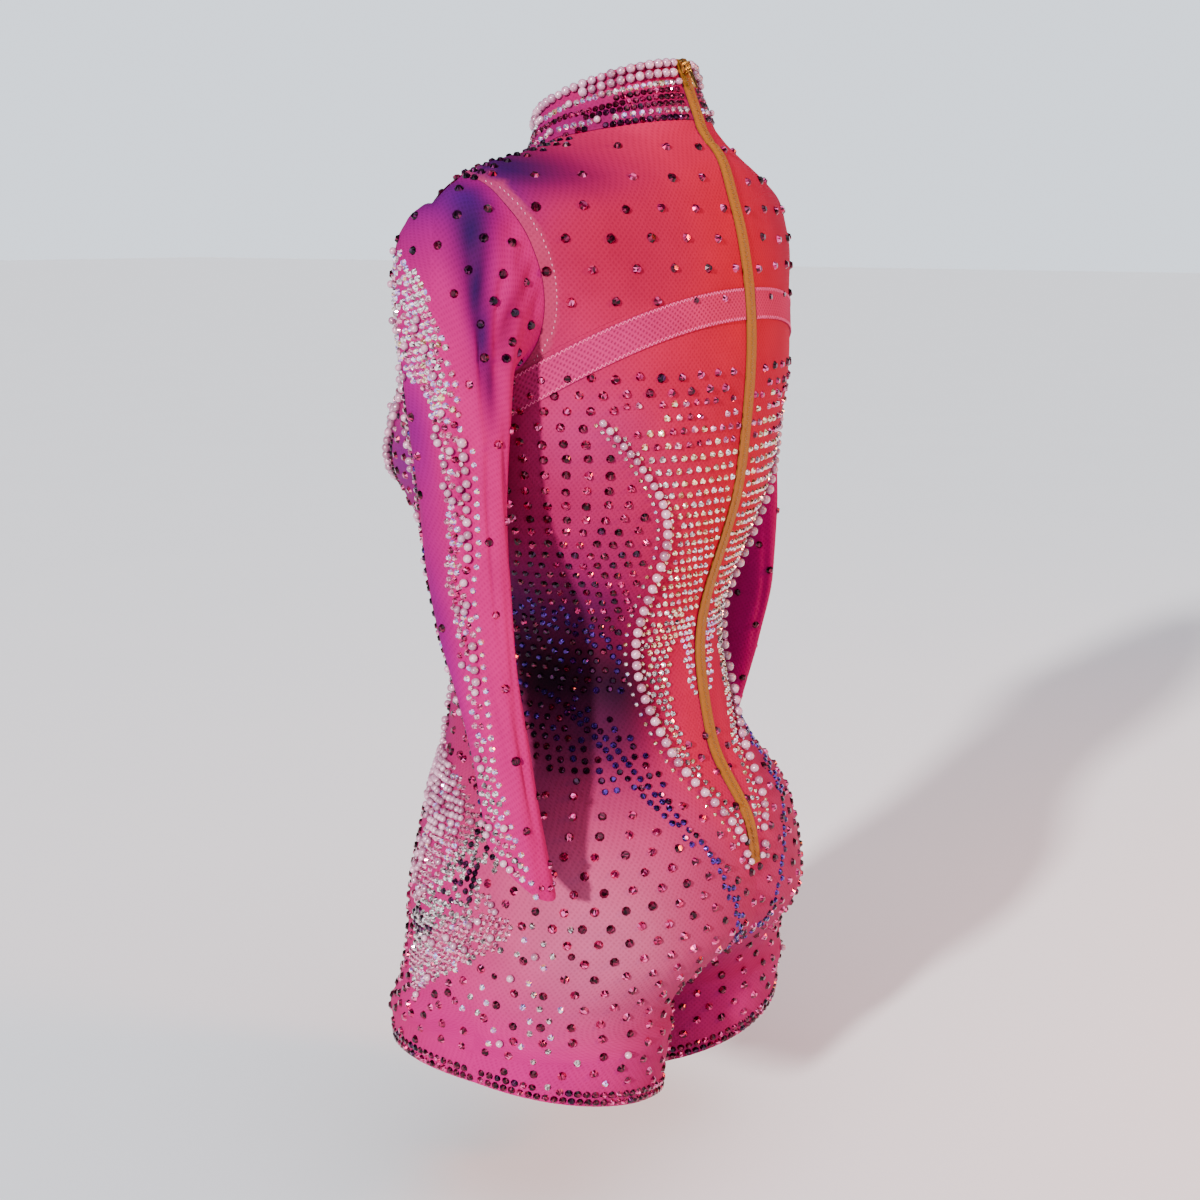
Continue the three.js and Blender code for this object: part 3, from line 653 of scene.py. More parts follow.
sleeveSkins = {}
for side, name in sides:
    grid, shares, turned = sleeveGrid(side)
    middle = grid[:, :-1].mean(1)[:, None]
    arc = along(grid)
    down = runOf(grid[:, 0])
    flat = np.stack([arc, -down[:, None] + 0 * arc], -1)
    sleeveSkins[name] = {
        "grid": grid, "normal": gridNormals(grid, grid - middle), "share": shares[:, 0], "turned": turned}
    tone = sleeveColour(shares, turned, sleeveDyeAndLight)
    pieces["sleeve_" + name] = clothObject(
        "sleeve_cloth_" + name, [(onSide(grid, side), flat, tone, side < 0)], body["wall"], body["weld"])
print("sleeves made")


# A point of a sleeve's own left-hand form, by the share of its length and the way round it.
def onSleeve(name, share, degreesRound):
    skin = sleeveSkins[name]
    r = np.interp(share, skin["share"], np.arange(len(skin["share"])))
    c = (degreesRound % 360) / 360 * (len(skin["turned"]) - 1)
    r0, c0 = min(int(r), len(skin["share"]) - 2), min(int(c), len(skin["turned"]) - 2)
    f, g = r - r0, c - c0
    out = []
    for part in ("grid", "normal"):
        a = skin[part]
        top = a[r0, c0] * (1 - g) + a[r0, c0 + 1] * g
        low = a[r0 + 1, c0] * (1 - g) + a[r0 + 1, c0 + 1] * g
        out.append(top * (1 - f) + low * f)
    return out[0], unit(out[1])


collar = {
    "topHalf": 54, "topFront": 50, "topBack": 51, "topMid": 10, "topTilt": 19, "high": 36,
    "rows": 24, "wall": 1.3,
}


def collarGrid():
    line = np.concatenate([skins["back"]["grid"][0], skins["front"]["grid"][0][::-1][1:]])
    count = len(line)
    spin = math.pi * np.arange(count) / (count - 1)
    depth = np.where(np.cos(spin) > 0, collar["topBack"], collar["topFront"])
    top = np.stack([
        collar["topHalf"] * np.sin(spin), depth * np.cos(spin),
        collar["topMid"] + collar["topTilt"] * np.cos(spin)], -1)
    sewn = line + np.array([0, 0, body["layerGap"]])
    share = np.linspace(0, 1, collar["rows"] + 1)[:, None, None]
    grid = sewn[None] * (1 - share) + top[None] * share
    grid[:, 0, 0] = body["zipOpening"]
    grid[:, -1, 0] = 0
    return grid


collarLeft = collarGrid()
collarNormal = gridNormals(collarLeft, collarLeft * np.array([1, 1, 0]))
collarArc = along(collarLeft)
collarDye = {
    "ground": "#d01c74",
    "patches": [
        (0, 1, 60, 0.5, "#d80c50", 0.8), (90, 0.2, 70, 0.4, "#8c0c60", 0.8),
        (150, 0.6, 60, 0.6, "#b01c90", 0.6),
    ],
}
collarShare = np.linspace(0, 1, collar["rows"] + 1)[:, None] + 0 * collarArc
collarTone = dyeAndShadeOn(collarArc, collarShare, collarDye)
collarFlat = np.stack([collarArc, collarShare * collar["high"]], -1)
clothWhole("collar", "collar_stand", collarLeft, [collarFlat, -collarFlat], collarTone, collar["wall"])

band = {
    "top": -187, "bottom": -212, "rows": 8, "wall": 0.6, "lift": 0.95, "from": 7.4,
    "colour": "#df2c6c", "outer": "#d22c7a", "paler": 1.08,
}


def bandGrid():
    sideZ = np.linspace(band["top"], band["bottom"], band["rows"] + 1)
    turn = np.linspace(0, 1, body["columns"] + 1)
    grid = rowPoint(1, sideZ[:, None] + 0 * turn, turn[None, :] + 0 * sideZ[:, None])
    axis = grid * np.array([1, 1, 0])
    normal = gridNormals(grid, axis)
    grid = grid - normal * foldDepth(grid, torsoFolds)[..., None]
    for row in grid:
        start = readAt(band["from"], row[:, 0], row)
        keep = row[:, 0] > band["from"] + 0.5
        first = int(np.argmax(keep))
        row[:first] = start + (row[first] - start) * (np.arange(first) / first)[:, None]
    grid[:, -1, 1] += body["seamGap"] / 2
    return grid + normal * band["lift"], normal


bandLeft, bandNormal = bandGrid()
bandArc = along(bandLeft)
bandTone = np.zeros(bandLeft.shape) + hexToLinear(band["colour"])
shade = smooth(bandArc, 20, 120)[..., None]
bandTone = (bandTone * (1 - shade) + shade * hexToLinear(band["outer"])) * dyeDepth * band["paler"]
bandDown = np.linspace(0, band["bottom"] - band["top"], band["rows"] + 1)
bandFlat = np.stack([bandArc, bandDown[:, None] + 0 * bandArc], -1)
clothPair("back_band_", "stretch_band_", bandLeft, [bandFlat, bandFlat], bandTone, band["wall"])

zipPart = {
    "tape": 6.4, "lift": 1.15, "wall": 0.8, "overrun": 5, "columns": 7, "easing": 6,
    "colour": "#b4760c", "edge": "#905806", "paler": 1.6,
}


def zipLine():
    upper = collarLeft[::-1, :4]
    lower = skins["back"]["grid"][1:, :4]
    lower = lower[lower[:, 0, 2] > body["zipEnd"] - zipPart["overrun"]]
    return np.concatenate([upper, lower])


def zipGrid():
    line = zipLine()
    across = np.linspace(body["seamGap"] / 2, zipPart["tape"], zipPart["columns"])
    grid = np.zeros((len(line), len(across), 3))
    for r, row in enumerate(line):
        first = row[0] - (row[1] - row[0]) * (row[0, 0] / (row[1, 0] - row[0, 0]))
        points = np.vstack([first, row[1:]])
        grid[r] = readAt(across, points[:, 0], points)
        grid[r, :, 0] = across
    # the tape's run down the back is eased so that it never kinks at the collar's seam
    for step in range(zipPart["easing"]):
        grid[1:-1, :, 1] = (grid[:-2, :, 1] + 2 * grid[1:-1, :, 1] + grid[2:, :, 1]) / 4
    normal = gridNormals(grid, np.array([0, 1, 0.2]))
    normal[..., 0] = 0
    return grid, unit(normal)


zipCloth, zipNormal = zipGrid()
zipRun = runOf(zipCloth[:, 0])
zipTone = np.zeros(zipCloth.shape) + hexToLinear(zipPart["colour"])
zipTone[:, -1] = hexToLinear(zipPart["edge"])
zipTone *= dyeDepth * zipPart["paler"]
zipFlat = np.stack([zipCloth[..., 0], -zipRun[:, None] + 0 * zipCloth[..., 0]], -1)
zipLifted = zipCloth + zipNormal * zipPart["lift"]
clothPair("zip_tape_", "zip_ribbon_", zipLifted, [zipFlat, zipFlat], zipTone, zipPart["wall"])
print("collar, band and zip tapes made")

# Colours of the cut glass, several for each kind, with painted glints and painted dark reflections
# among them, because the foil behind it catches the light differently on every facet.
glassAndGlintTones = {
    "fuchsia": ["#98064a", "#5c0228", "#c8146c", "#380116", "#ee5ca4"],
    "garnet": ["#44021e", "#24000e", "#62042e", "#140006", "#8a1848"],
    "plum": ["#220322", "#100110", "#380634", "#5c0c4c", "#08000a"],
    "violet": ["#2a0660", "#420c80", "#120230", "#5a28a0", "#08021c", "#40086a"],
    "clear": ["#f6e8ee", "#ffffff", "#a08892", "#ecd4de", "#70505e"],
    "silver": ["#a4949a", "#685860", "#f0e6ea", "#443a40", "#d4c0c0"],
    "champagne": ["#f2cf9e", "#ffe2bd", "#a86c48", "#fff0dc", "#7c4630"],
    "aurora": ["#e3b8f0", "#a6b9ff", "#ffd09a", "#f09cc8", "#ffffff", "#b880d8", "#8c5c98"],
    "rose": ["#d0709a", "#a8487a", "#eca0bc", "#842c56", "#dca8b8"],
}
pearlTones = ["#a87490", "#986482", "#b4849e", "#84506c"]
stonework = {"sunk": 0.15, "tilt": 0.06, "cell": 8.0, "uneven": 0.03, "dimmest": 0.75, "brighter": 0.5}


# The points and faces of a small modelled shape, whose own object is dropped.
def shapeOf(made, belowNormal=-2.0):
    points = np.array([v.co for v in made.data.vertices])
    faces = np.array([list(f.vertices) for f in made.data.polygons if f.normal.z > belowNormal])
    bpy.data.objects.remove(made)
    return points, faces


# One cut stone: a cone with its table turned half a facet, so that its sides break into triangles.
def stoneShape():
    bpy.ops.object.select_all(action="DESELECT")
    bpy.ops.mesh.primitive_cone_add(vertices=8, radius1=0.5, radius2=0.27, depth=0.34, location=(0, 0, 0.17))
    made = bpy.context.active_object
    bpy.ops.object.transform_apply(location=True)
    openMesh("DESELECT")
    bpy.ops.mesh.select_mode(type="VERT")
    closeMesh()
    for vertex in made.data.vertices:
        vertex.select = vertex.co.z > 0.2
    bpy.ops.object.mode_set(mode="EDIT")
    bpy.ops.transform.rotate(value=math.radians(22.5), orient_axis="Z", center_override=(0, 0, 0))
    bpy.ops.mesh.select_all(action="SELECT")
    bpy.ops.mesh.quads_convert_to_tris()
    closeMesh()
    return shapeOf(made, -0.9)  # its glued back is left open


def pearlShape():
    bpy.ops.object.select_all(action="DESELECT")
    bpy.ops.mesh.primitive_ico_sphere_add(subdivisions=2, radius=0.5, location=(0, 0, 0))
    points, faces = shapeOf(bpy.context.active_object)
    return points + np.array([0, 0, 0.4]), faces


shapes = {"stone": stoneShape(), "pearl": pearlShape()}
laid = {}
taken = {}


# Lays one stone unless another is in its place. near lets them stand closer than touching.
def lay(kind, size, spot, side=1, near=0.97):
    if spot is None:
        return False
    point, normal = spot
    if side < 0:
        point, normal = point * flipX, normal * flipX
    cell = tuple(np.floor(point / stonework["cell"]).astype(int))
    for i in (-1, 0, 1):
        for j in (-1, 0, 1):
            for k in (-1, 0, 1):
                for other, wide in taken.get((cell[0] + i, cell[1] + j, cell[2] + k), ()):
                    if np.linalg.norm(other - point) < (size + wide) / 2 * near:
                        return False
    taken.setdefault(cell, []).append((point, size))
    laid.setdefault(kind, []).append((point, normal, size))
    return True


# Draws one kind of stone from a mix such as "plum 4 garnet 1", by weight.
def pick(mix):
    words = mix.split()
    weights = np.array(words[1::2], float)
    return words[::2][int(dice.choice(len(weights), p=weights / weights.sum()))]


# Points at even gaps along a line of (a, b) pairs.
def evenly(path, gap, first=0.0):
    run = runOf(path)
    at = np.arange(first, run[-1], gap)
    return readAt(at, run, path), at / run[-1]


# A smooth line through a few (a, b) pairs.
def eased(path, rounds=3):
    path = np.array(path, float)
    for step in range(rounds):
        near = path[:-1] * 0.75 + path[1:] * 0.25
        far = path[:-1] * 0.25 + path[1:] * 0.75
        middle = np.stack([near, far], 1).reshape(-1, 2)
        path = np.vstack([path[:1], middle, path[-1:]])
    return path


# Lines of the pattern on the left half, by the way round from the centre back and the height.
pearlLine = eased([(134, -204), (120, -216), (100, -233), (77, -259), (64, -285), (61, -309), (62, -337),
                   (62, -369), (60, -397), (53, -424), (44, -448), (30, -478), (12, -506)])
violetLow = eased([(222, -392), (176, -390), (137, -393), (111, -404), (90, -424), (80, -446), (72, -466),
                   (60, -492), (44, -522), (31, -548), (20, -574), (15, -600), (22, -626)])
violetHigh = eased([(205, -328), (160, -338), (128, -345), (104, -350), (84, -362), (68, -374)])


def roundAt(path, z):
    order = np.argsort(path[:, 1])
    return np.interp(z, path[order, 1], path[order, 0])


def valueAt(rule, place):
    return rule(place) if callable(rule) else rule


# A number that changes by so much between two depths below the neck.
def easing(start, change, high, low):
    return lambda z: start + change * float(smooth(-z, high, low))


def layPath(mix, size, path, gap, side, first=0.0, shift=(0, 0), spread=0.0, place=onBody, near=0.97):
    spots, shares = evenly(path, gap, first)
    for (a, b), share in zip(spots, shares):
        a, b = a + shift[0] + dice.normal(0, 1) * spread, b + shift[1] + dice.normal(0, 1) * spread
        lay(pick(mix), valueAt(size, share), place(a, b), side, near)


# Fills rows between two heights and two limits round the body. Limits and gaps are numbers or
# are read at each height. choose gives a kind and a size, or None where the cloth stays bare.
def layRows(side, heights, limits, gaps, choose, place=onBody, wobble=0.5, near=0.97):
    z, odd = heights[0], 0
    while z > heights[1]:
        gap = valueAt(gaps[0], z)
        a = valueAt(limits[0], z) + (gap / 2 if odd else 0)
        end = valueAt(limits[1], z)
        while a < end:
            picked = choose(a, z)
            if picked:
                spot = place(a + dice.normal(0, 1) * wobble * 0.5, z + dice.normal(0, 1) * wobble * 0.5)
                lay(*picked, spot, side, near)
            a += gap
        z -= valueAt(gaps[1], z)
        odd = 1 - odd


# Where the pearls run at a height, or another limit above their start.
def toPearls(z, above):
    return roundAt(pearlLine, z) if z < backwork["pearlTop"] else above


# Sizes and lines of the back's stonework. The violet lines are shifted copies, and "kept" is how
# much of each one there is.
backwork = {
    "pearlTop": -204, "pearl": 5.4, "grown": 1.5, "shrunk": 1.2, "violet": 5.1, "crystal": 5.3, "blade": 6.8,
    "below": 6.5, "dark": 5.2,
    "violetLow": [((0, 0), 1), ((5.2, 1.5), 1), ((-5.0, -1.5), 0.84), ((10.2, 3), 0.6)],
    "cluster": [(16, -492, 5.5), (22, -500, 4.6), (12, -514, 5.5), (7, -521, 5.0), (14, -523, 4.2),
                (26, -486, 4.4)],
}


def pearlSize(share):
    grown = backwork["grown"] * float(smooth(share, 0.12, 0.3))
    return backwork["pearl"] + grown - backwork["shrunk"] * float(smooth(share, 0.8, 1))


# crystals between the pearls and the zip, in even rows, thinning out upwards
def crystal(a, z):
    if z > -205 and dice.random() < 0.25:
        return None
    if z > -222:
        return pick("fuchsia 4 rose 3 champagne 2"), 5.4
    kind = pick("champagne 5 clear 4 rose 0.3" if a < 40 else "champagne 3 clear 4 rose 0.3")
    return kind, easing(backwork["crystal"], -0.9, 200, 320)(z)


# two bands that taper below the waist, with bare cloth between them
def silverBand(a, z):
    wide = np.interp(-z, (340, 370, 420, 500), (40, 26, 15, 8))
    if a > roundAt(pearlLine, z) - 5 - wide:
        return pick("silver 4 champagne 2 clear 2"), 4.5
    if a < np.interp(-z, (340, 372, 405, 412), (30, 20, 12, 0)):
        return pick("aurora 4 clear 2 rose 1"), 4.4
    return None


# fuchsia stones from the band to the waist, closer and darker on the way down
def belowBand(a, z):
    if z < -300 and a > 150:
        return pick("plum 3 garnet 2 violet 1"), 5
    size = easing(backwork["below"], -1.3, 250, 330)(z)
    return pick("fuchsia 6 garnet 3 plum 0.4" if z > -290 else "fuchsia 3 garnet 3 plum 3"), size


def darkStart(z):
    return max(roundAt(pearlLine, z) + 9, roundAt(violetLow, z) - 16 if z < -396 else 0)


def darkEnd(z):
    return np.interp(-z, (335, 396, 440, 462), (330, 330, 150, 100))


for side in (1, -1):
    # pearls from the shoulder blade in to the waist and down to the zip's end
    layPath("pearl 1", pearlSize, pearlLine, 8.0, side)
    layPath("champagne 2 clear 2 aurora 1", 3.2, pearlLine, 7.0, side, 3, shift=(6.6, 0))
    layPath("champagne 3 clear 2", 3.4, pearlLine, 5.2, side, 2, shift=(-5.6, 0))
    # clusters of pearls at the zip's end
    for a, z, size in backwork["cluster"]:
        lay("pearl", size, onBody(a, z), side)
    # violet lines: over the waist side, and from it across the hip and down the seat
    for k in range(3):
        layPath("violet 4 plum 1", 5.0, violetHigh, 5.4, side, k * 2.7, shift=(0, 7 - 5.2 * k), spread=0.5)
    for k, (shift, kept) in enumerate(backwork["violetLow"]):
        line = violetLow[:int(len(violetLow) * kept)]
        layPath("violet 5 plum 1", backwork["violet"], line, 5.2, side, k * 2.6, shift=shift, spread=0.4)
    layRows(side, (-194, -345), (9.5, lambda z: toPearls(z, 96 + (z + 204) * 3) - 4.5),
            (easing(9.8, -3.6, 195, 320), easing(9.4, -3.2, 195, 310)), crystal)
    layRows(side, (-345, -500), (9, lambda z: roundAt(pearlLine, z) - 4.5), (5.4, 4.9), silverBand)
    # fuchsia stones over the shoulder blades
    layRows(side, (-30, -147), (15, 205), (31, 19.5),
            lambda a, z: ("garnet" if dice.random() < 0.45 else "fuchsia", backwork["blade"]), wobble=1.2)
    layRows(side, (-176, -352), (lambda z: toPearls(z, 12) + 9, 246),
            (easing(17.5, -8, 230, 335), easing(10.5, -4, 230, 330)), belowBand, wobble=0.9)
    # dark stones about the violet lines
    layRows(side, (-335, -462), (darkStart, darkEnd), (8.6, 6.4),
            lambda a, z: (pick("plum 4 garnet 3 violet 3" if a < 200 else "plum 4 garnet 3 violet 1"),
                          backwork["dark"]), wobble=0.8)


# The hip's ornament: its middle and the direction across its bands, then the stones' sizes.
hipwork = {"round": 262, "height": -530, "cos": 0.62, "sin": 0.78, "pearl": 4.9, "band": 5.2, "rose": 5.0,
           "sparse": 6.7, "hem": 5.7}


# Stones in each place of the hip's ornament, by the way round and the height.
def hipStone(a, z):
    out, up = a - hipwork["round"], z - hipwork["height"]
    diagonal = out * hipwork["cos"] + up * hipwork["sin"]
    across = out * hipwork["sin"] - up * hipwork["cos"]
    if ((a - 270) / 40) ** 2 + ((z + 472) / 25) ** 2 < 1:
        return pick("pearl 8 aurora 2 rose 1"), hipwork["pearl"]
    if abs(diagonal) < 12 and -66 < across < 62:
        return pick("silver 5 clear 1 plum 2"), hipwork["band"]
    if 12 <= diagonal < 44 and -70 < across < 46:
        return pick("rose 6 aurora 2 pearl 1"), hipwork["rose"]
    if -46 < diagonal <= -12 and -34 < across < 74:
        return pick("rose 6 aurora 1 silver 1 pearl 0.6"), hipwork["rose"]
    return None


# it thins out towards the back of the hem
def hipTail(a, z):
    if dice.random() < np.interp(-z, (540, 600, 655), (0.95, 0.6, 0.3)):
        return pick("pearl 1 silver 4 aurora 2 garnet 1"), hipwork["band"]
    return None


for side in (1, -1):
    layRows(side, (-440, -612), (176, 330), (4.9, 4.25), hipStone, wobble=0.3, near=0.84)
    layRows(side, (-540, -655), (168, 246), (13, 9.5), hipTail, wobble=1.6)
    # rows of dark stones along the hem
    for lift, gap, first in ((3.2, 6.0, 0), (8.8, 6.4, 3.0)):
        for which in ("back", "front"):
            run = skins[which]["arc"][-1]
            for a in np.arange(first + 2, run[-1] - 1, gap):
                height = readAt(a, run, skins[which]["grid"][-1])[2] + lift
                spot = onPanel(which, min(a, run[-1] - 2), height)
                lay(pick("garnet 4 fuchsia 3 plum 1"), hipwork["hem"], spot, side)
    # fuchsia stones over the hips and thighs
    layRows(side, (-436, -700), (7, 480), (20.5, 11.6),
            lambda a, z: ("garnet" if dice.random() < 0.35 else "fuchsia", hipwork["sparse"]), wobble=1.0)
print("back and hips laid")


# The front, by the way round from its centre: an arc of pearls under each bust, a yoke of small
# rose stones, dark lines at the waist.
bustLine = eased([(150, -176), (132, -214), (104, -246), (70, -262), (36, -256), (14, -236), (4, -204)])
yokeLine = eased([(4, -96), (40, -88), (80, -78), (118, -70), (150, -66)])
frontDark = eased([(186, -300), (150, -318), (112, -330), (70, -338), (30, -352), (2, -372)])
frontLow = eased([(3, -392), (30, -404), (62, -428), (96, -452)])


def onFront(a, z):
    return onPanel("front", a, z)


# mix, size, line, gap, start along the line and shift
frontLines = [
    ("pearl 1", 6.4, bustLine, 7.6, 0, (0, 0)),
    ("plum 2 garnet 3", 5.0, bustLine, 5.8, 0, (2, -7)),
    ("aurora 2 clear 2", 4.0, bustLine, 5.2, 0, (-1, 6)),
    ("pearl 1", 5.6, yokeLine, 7.4, 0, (0, 0)),
    ("silver 1 clear 1", 4.0, yokeLine, 5.0, 0, (0, -6)),
    ("violet 3 plum 2", 4.8, frontDark, 5.6, 0, (0, 0)),
    ("violet 3 plum 2", 4.4, frontDark, 5.6, 2.8, (0, -6)),
    ("pearl 1", 6.0, frontLow, 7.6, 0, (0, 0)),
]


def bustStone(a, z):
    inside = ((a - 74) / 62) ** 2 + ((z + 214) / 42) ** 2 < 1
    return (pick("rose 6 aurora 2 pearl 1"), 4.8) if inside else None


for side in (1, -1):
    for mix, size, line, gap, first, shift in frontLines:
        layPath(mix, size, line, gap, side, first, shift, place=onFront)
    layRows(side, (-172, -258), (6, 150), (6.8, 5.8), bustStone, place=onFront)
    layRows(side, (-60, -640), (8, 232), (19.5, 11.8), lambda a, z: (pick("fuchsia 6 garnet 3"), 6.5),
            place=onFront, wobble=1.0)


# The collar, by the way round from the centre back and how far below its top edge.
def onCollar(around, below):
    r = (1 - below / collar["high"]) * collar["rows"]
    r0 = int(np.clip(r, 0, collar["rows"] - 1))
    arc = collarArc[r0]
    if not 3 <= around <= arc[-1]:
        return None
    point = readAt(around, arc, collarLeft[r0])
    upper = readAt(around, collarArc[r0 + 1], collarLeft[r0 + 1])
    point = point + (upper - point) * (r - r0)
    normal = readAt(around, arc, collarNormal[r0])
    return point, unit(normal)


# how far below the top edge, size, gap and mix
collarRows = [
    (2.8, 6.3, 6.5, "pearl 1"), (8.7, 6.1, 6.4, "pearl 1"),
    (13.8, 4.8, 4.7, "aurora 3 clear 2 champagne 1 pearl 0.6"),
    (17.9, 4.8, 4.6, "garnet 4 fuchsia 2"), (21.9, 4.8, 4.6, "garnet 3 fuchsia 2"),
    (25.9, 4.8, 4.7, "plum 2 garnet 3"), (30.1, 4.8, 6.0, "aurora 3 clear 2 pearl 0.8 rose 1"),
    (34.4, 5.2, 5.0, "plum 3 garnet 2"),
]
shoulderLine = skins["back"]["grid"][:firstArm + 1, -1]
shoulderRun = runOf(shoulderLine)
for side in (1, -1):
    for n, (below, size, gap, mix) in enumerate(collarRows):
        line = np.array([(9.5, below), (178, below)])
        layPath(mix, size, line, gap, side, (n % 2) * gap / 2, place=onCollar, near=0.9)
    # dark rows along the shoulder, where the front and back panels meet
    for offset, first in ((4.0, 0.0), (-4.0, 2.8), (9.0, 1.4)):
        skin = skins["back" if offset > 0 else "front"]
        for a in np.arange(3 + first, shoulderRun[-1], 5.6):
            at = readAt(a, shoulderRun, shoulderLine) + np.array([0, offset, 0])
            gap = np.linalg.norm(skin["grid"][:firstArm + 12] - at, axis=-1)
            r, c = np.unravel_index(gap.argmin(), gap.shape)
            lay(pick("plum 4 garnet 1"), 5.7, (skin["grid"][r, c], skin["normal"][r, c]), side, near=0.9)
print("front and collar laid")

# The sleeves, by the share of the length and the way round in degrees: a wide field of crystals
# that parts above the elbow into a band with pearls behind and a darker band before.
sleevePlan = {
    "line": 330, "edge": 320, "stone": 5.0, "gap": 5.2, "row": 4.4, "first": 1.3, "sparse": 6.3,
    # share, middle of the stones in degrees, half their width in degrees
    "behind": [(0.185, 308, 6), (0.21, 301, 21), (0.25, 300, 36), (0.3, 308, 47), (0.35, 316, 52),
               (0.39, 334, 46), (0.42, 362, 24), (0.47, 372, 20), (0.53, 378, 18), (0.59, 374, 17),
               (0.65, 358, 17), (0.71, 360, 17), (0.79, 354, 15), (0.86, 346, 14), (0.93, 352, 26),
               (1.0, 360, 44)],
    "before": [(0.38, 290, 14), (0.43, 283, 23), (0.51, 276, 18), (0.6, 273, 14), (0.7, 275, 11),
               (0.85, 280, 10), (0.96, 296, 12)],
}


def sleeveBand(which, share):
    table = np.array(sleevePlan[which], float)
    return np.interp(share, table[:, 0], table[:, 1]), np.interp(share, table[:, 0], table[:, 2])


# Both take the share of the length and the place across the band, from -1 to 1.
def behindStone(share, place):
    if share < 0.45:
        return pick("aurora 4 clear 3 champagne 1 rose 3 pearl 0.8")
    if share < 0.85:
        return pick("aurora 3 rose 4 pearl 1.6 fuchsia 1")
    return pick("silver 3 clear 2 pearl 2 rose 2 aurora 1")


def beforeStone(share, place):
    return pick("plum 4 garnet 2 violet 0.5" if place > 0.1 else "pearl 3 rose 4 aurora 2")


for side, name in sides:
    skin = sleeveSkins[name]
    run = runOf(skin["grid"].mean(1))

    # millimetres to a degree at one place of the ring
    def ringGap(share, turn):
        return np.linalg.norm(onSleeve(name, share, turn + 3)[0] - onSleeve(name, share, turn - 3)[0]) / 6

    def atRun(distance):
        return float(np.interp(distance, run, skin["share"]))

    outerRun = runOf(np.array([onSleeve(name, share, sleevePlan["edge"])[0] for share in skin["share"]]))

    def laySleeve(kind, size, share, turn, near=0.97):
        return lay(kind, size, onSleeve(name, share, turn), side, near)

    # pearls down the back edge of the band
    for d in np.arange(0.32 * run[-1], run[-1] - 3, 7.4):
        share = atRun(d)
        middle, half = sleeveBand("behind", share)
        laySleeve(pick("pearl 6 fuchsia 1"), 6.4 if share < 0.5 else 5.6, share, middle + half)
        laySleeve("aurora", 4.4, atRun(d + 3.6), middle + half + 5.6 / ringGap(share, middle + half))
    # the bands, in rows counted both ways from one line down the sleeve, so that they stay packed
    for which, chosen in (("behind", behindStone), ("before", beforeStone)):
        start = float(np.interp(sleevePlan[which][0][0], skin["share"], outerRun))
        for n, d in enumerate(np.arange(start, outerRun[-1] - 3, sleevePlan["row"])):
            share = float(np.interp(d, outerRun, skin["share"]))
            middle, half = sleeveBand(which, share)
            first = sleevePlan["first"] if n % 2 else -sleevePlan["first"]
            for way in (1, -1):
                gap = first + (0 if way > 0 else -sleevePlan["gap"])
                turn = sleevePlan["line"] + gap / ringGap(share, sleevePlan["line"])
                while 230 < turn < 410:
                    off = (turn - middle) / half
                    if abs(off) < 1:
                        laySleeve(chosen(share, off), sleevePlan["stone"], share, turn, 0.86)
                    turn += way * sleevePlan["gap"] / ringGap(share, turn)
    # dark stones over the cap and sparse ones down the rest of the sleeve
    d, odd = 0.03 * run[-1], 0
    while d < run[-1] - 8:
        share = atRun(d)
        capped = share < 0.3
        step = (25 if capped else 36) / ringGap(share, 60)
        turn = (step / 2 if odd else 0) + 6
        while turn < 356:
            kind = pick("plum 3 garnet 2" if capped else "fuchsia 3 garnet 2")
            laySleeve(kind, sleevePlan["sparse"], share, turn)
            turn += step
        d += 15 if capped else 21
        odd = 1 - odd
    # a row round the cuff
    length = runOf(skin["grid"][-3])
    for a in np.arange(0, length[-1] - 3, 6.4):
        laySleeve(pick("fuchsia 2 garnet 1"), 4.6, 0.985, float(np.interp(a, length, skin["turned"])))
print("sleeves laid", sum(len(v) for v in laid.values()))


# One mesh of many copies of a small shape; where is copies by points by 3.
def copies(name, where, faces, smoothFaces=True):
    index = faces[None] + (np.arange(len(where)) * where.shape[1])[:, None, None]
    return makeObject(name, where.reshape(-1, 3), index.reshape(-1, faces.shape[1]).tolist(), smoothFaces)


# Joins every stone of one kind into a mesh of its own.
def joinedStones(name, shape, stones, tones, facetted):
    points, faces = shape
    spots, normals, sizes = (np.array([stone[k] for stone in stones]) for k in range(3))
    count = len(stones)
    normals = unit(normals + dice.normal(0, stonework["tilt"] if facetted else 0.0, normals.shape))
    helper = np.where(np.abs(normals[:, 2:]) > 0.9, np.array([[1.0, 0, 0]]), np.array([[0, 0, 1.0]]))
    across = unit(np.cross(helper, normals))
    up = np.cross(normals, across)
    spin = dice.random(count) * 2 * math.pi
    first = across * np.cos(spin)[:, None] + up * np.sin(spin)[:, None]
    second = np.cross(normals, first)
    sizes = sizes * (1 + dice.normal(0, stonework["uneven"], count))
    local = points[None] * sizes[:, None, None]
    turned = local[..., :1] * first[:, None] + local[..., 1:2] * second[:, None]
    where = (spots - normals * stonework["sunk"])[:, None] + (turned + local[..., 2:] * normals[:, None])
    made = copies(name, where, faces, not facetted)
    palette = np.array([hexToLinear(t) for t in tones])
    if facetted:
        # each facet takes a colour of its kind at random, scaled by a random brightness: painted glints and
        # painted dark facets for the sparkle
        picked = palette[dice.integers(0, len(palette), (count, len(faces)))]
        paintedGlint = dice.random((count, len(faces), 1))
        picked = picked * (stonework["dimmest"] + stonework["brighter"] * paintedGlint)
    else:
        picked = np.repeat(palette[dice.integers(0, len(palette), count)][:, None], len(faces), 1)
    corners = np.repeat(picked.reshape(-1, 3), faces.shape[1], axis=0)
    paintOn(made.data, "tone", "CORNER", np.clip(corners, 0, 1))
    return made


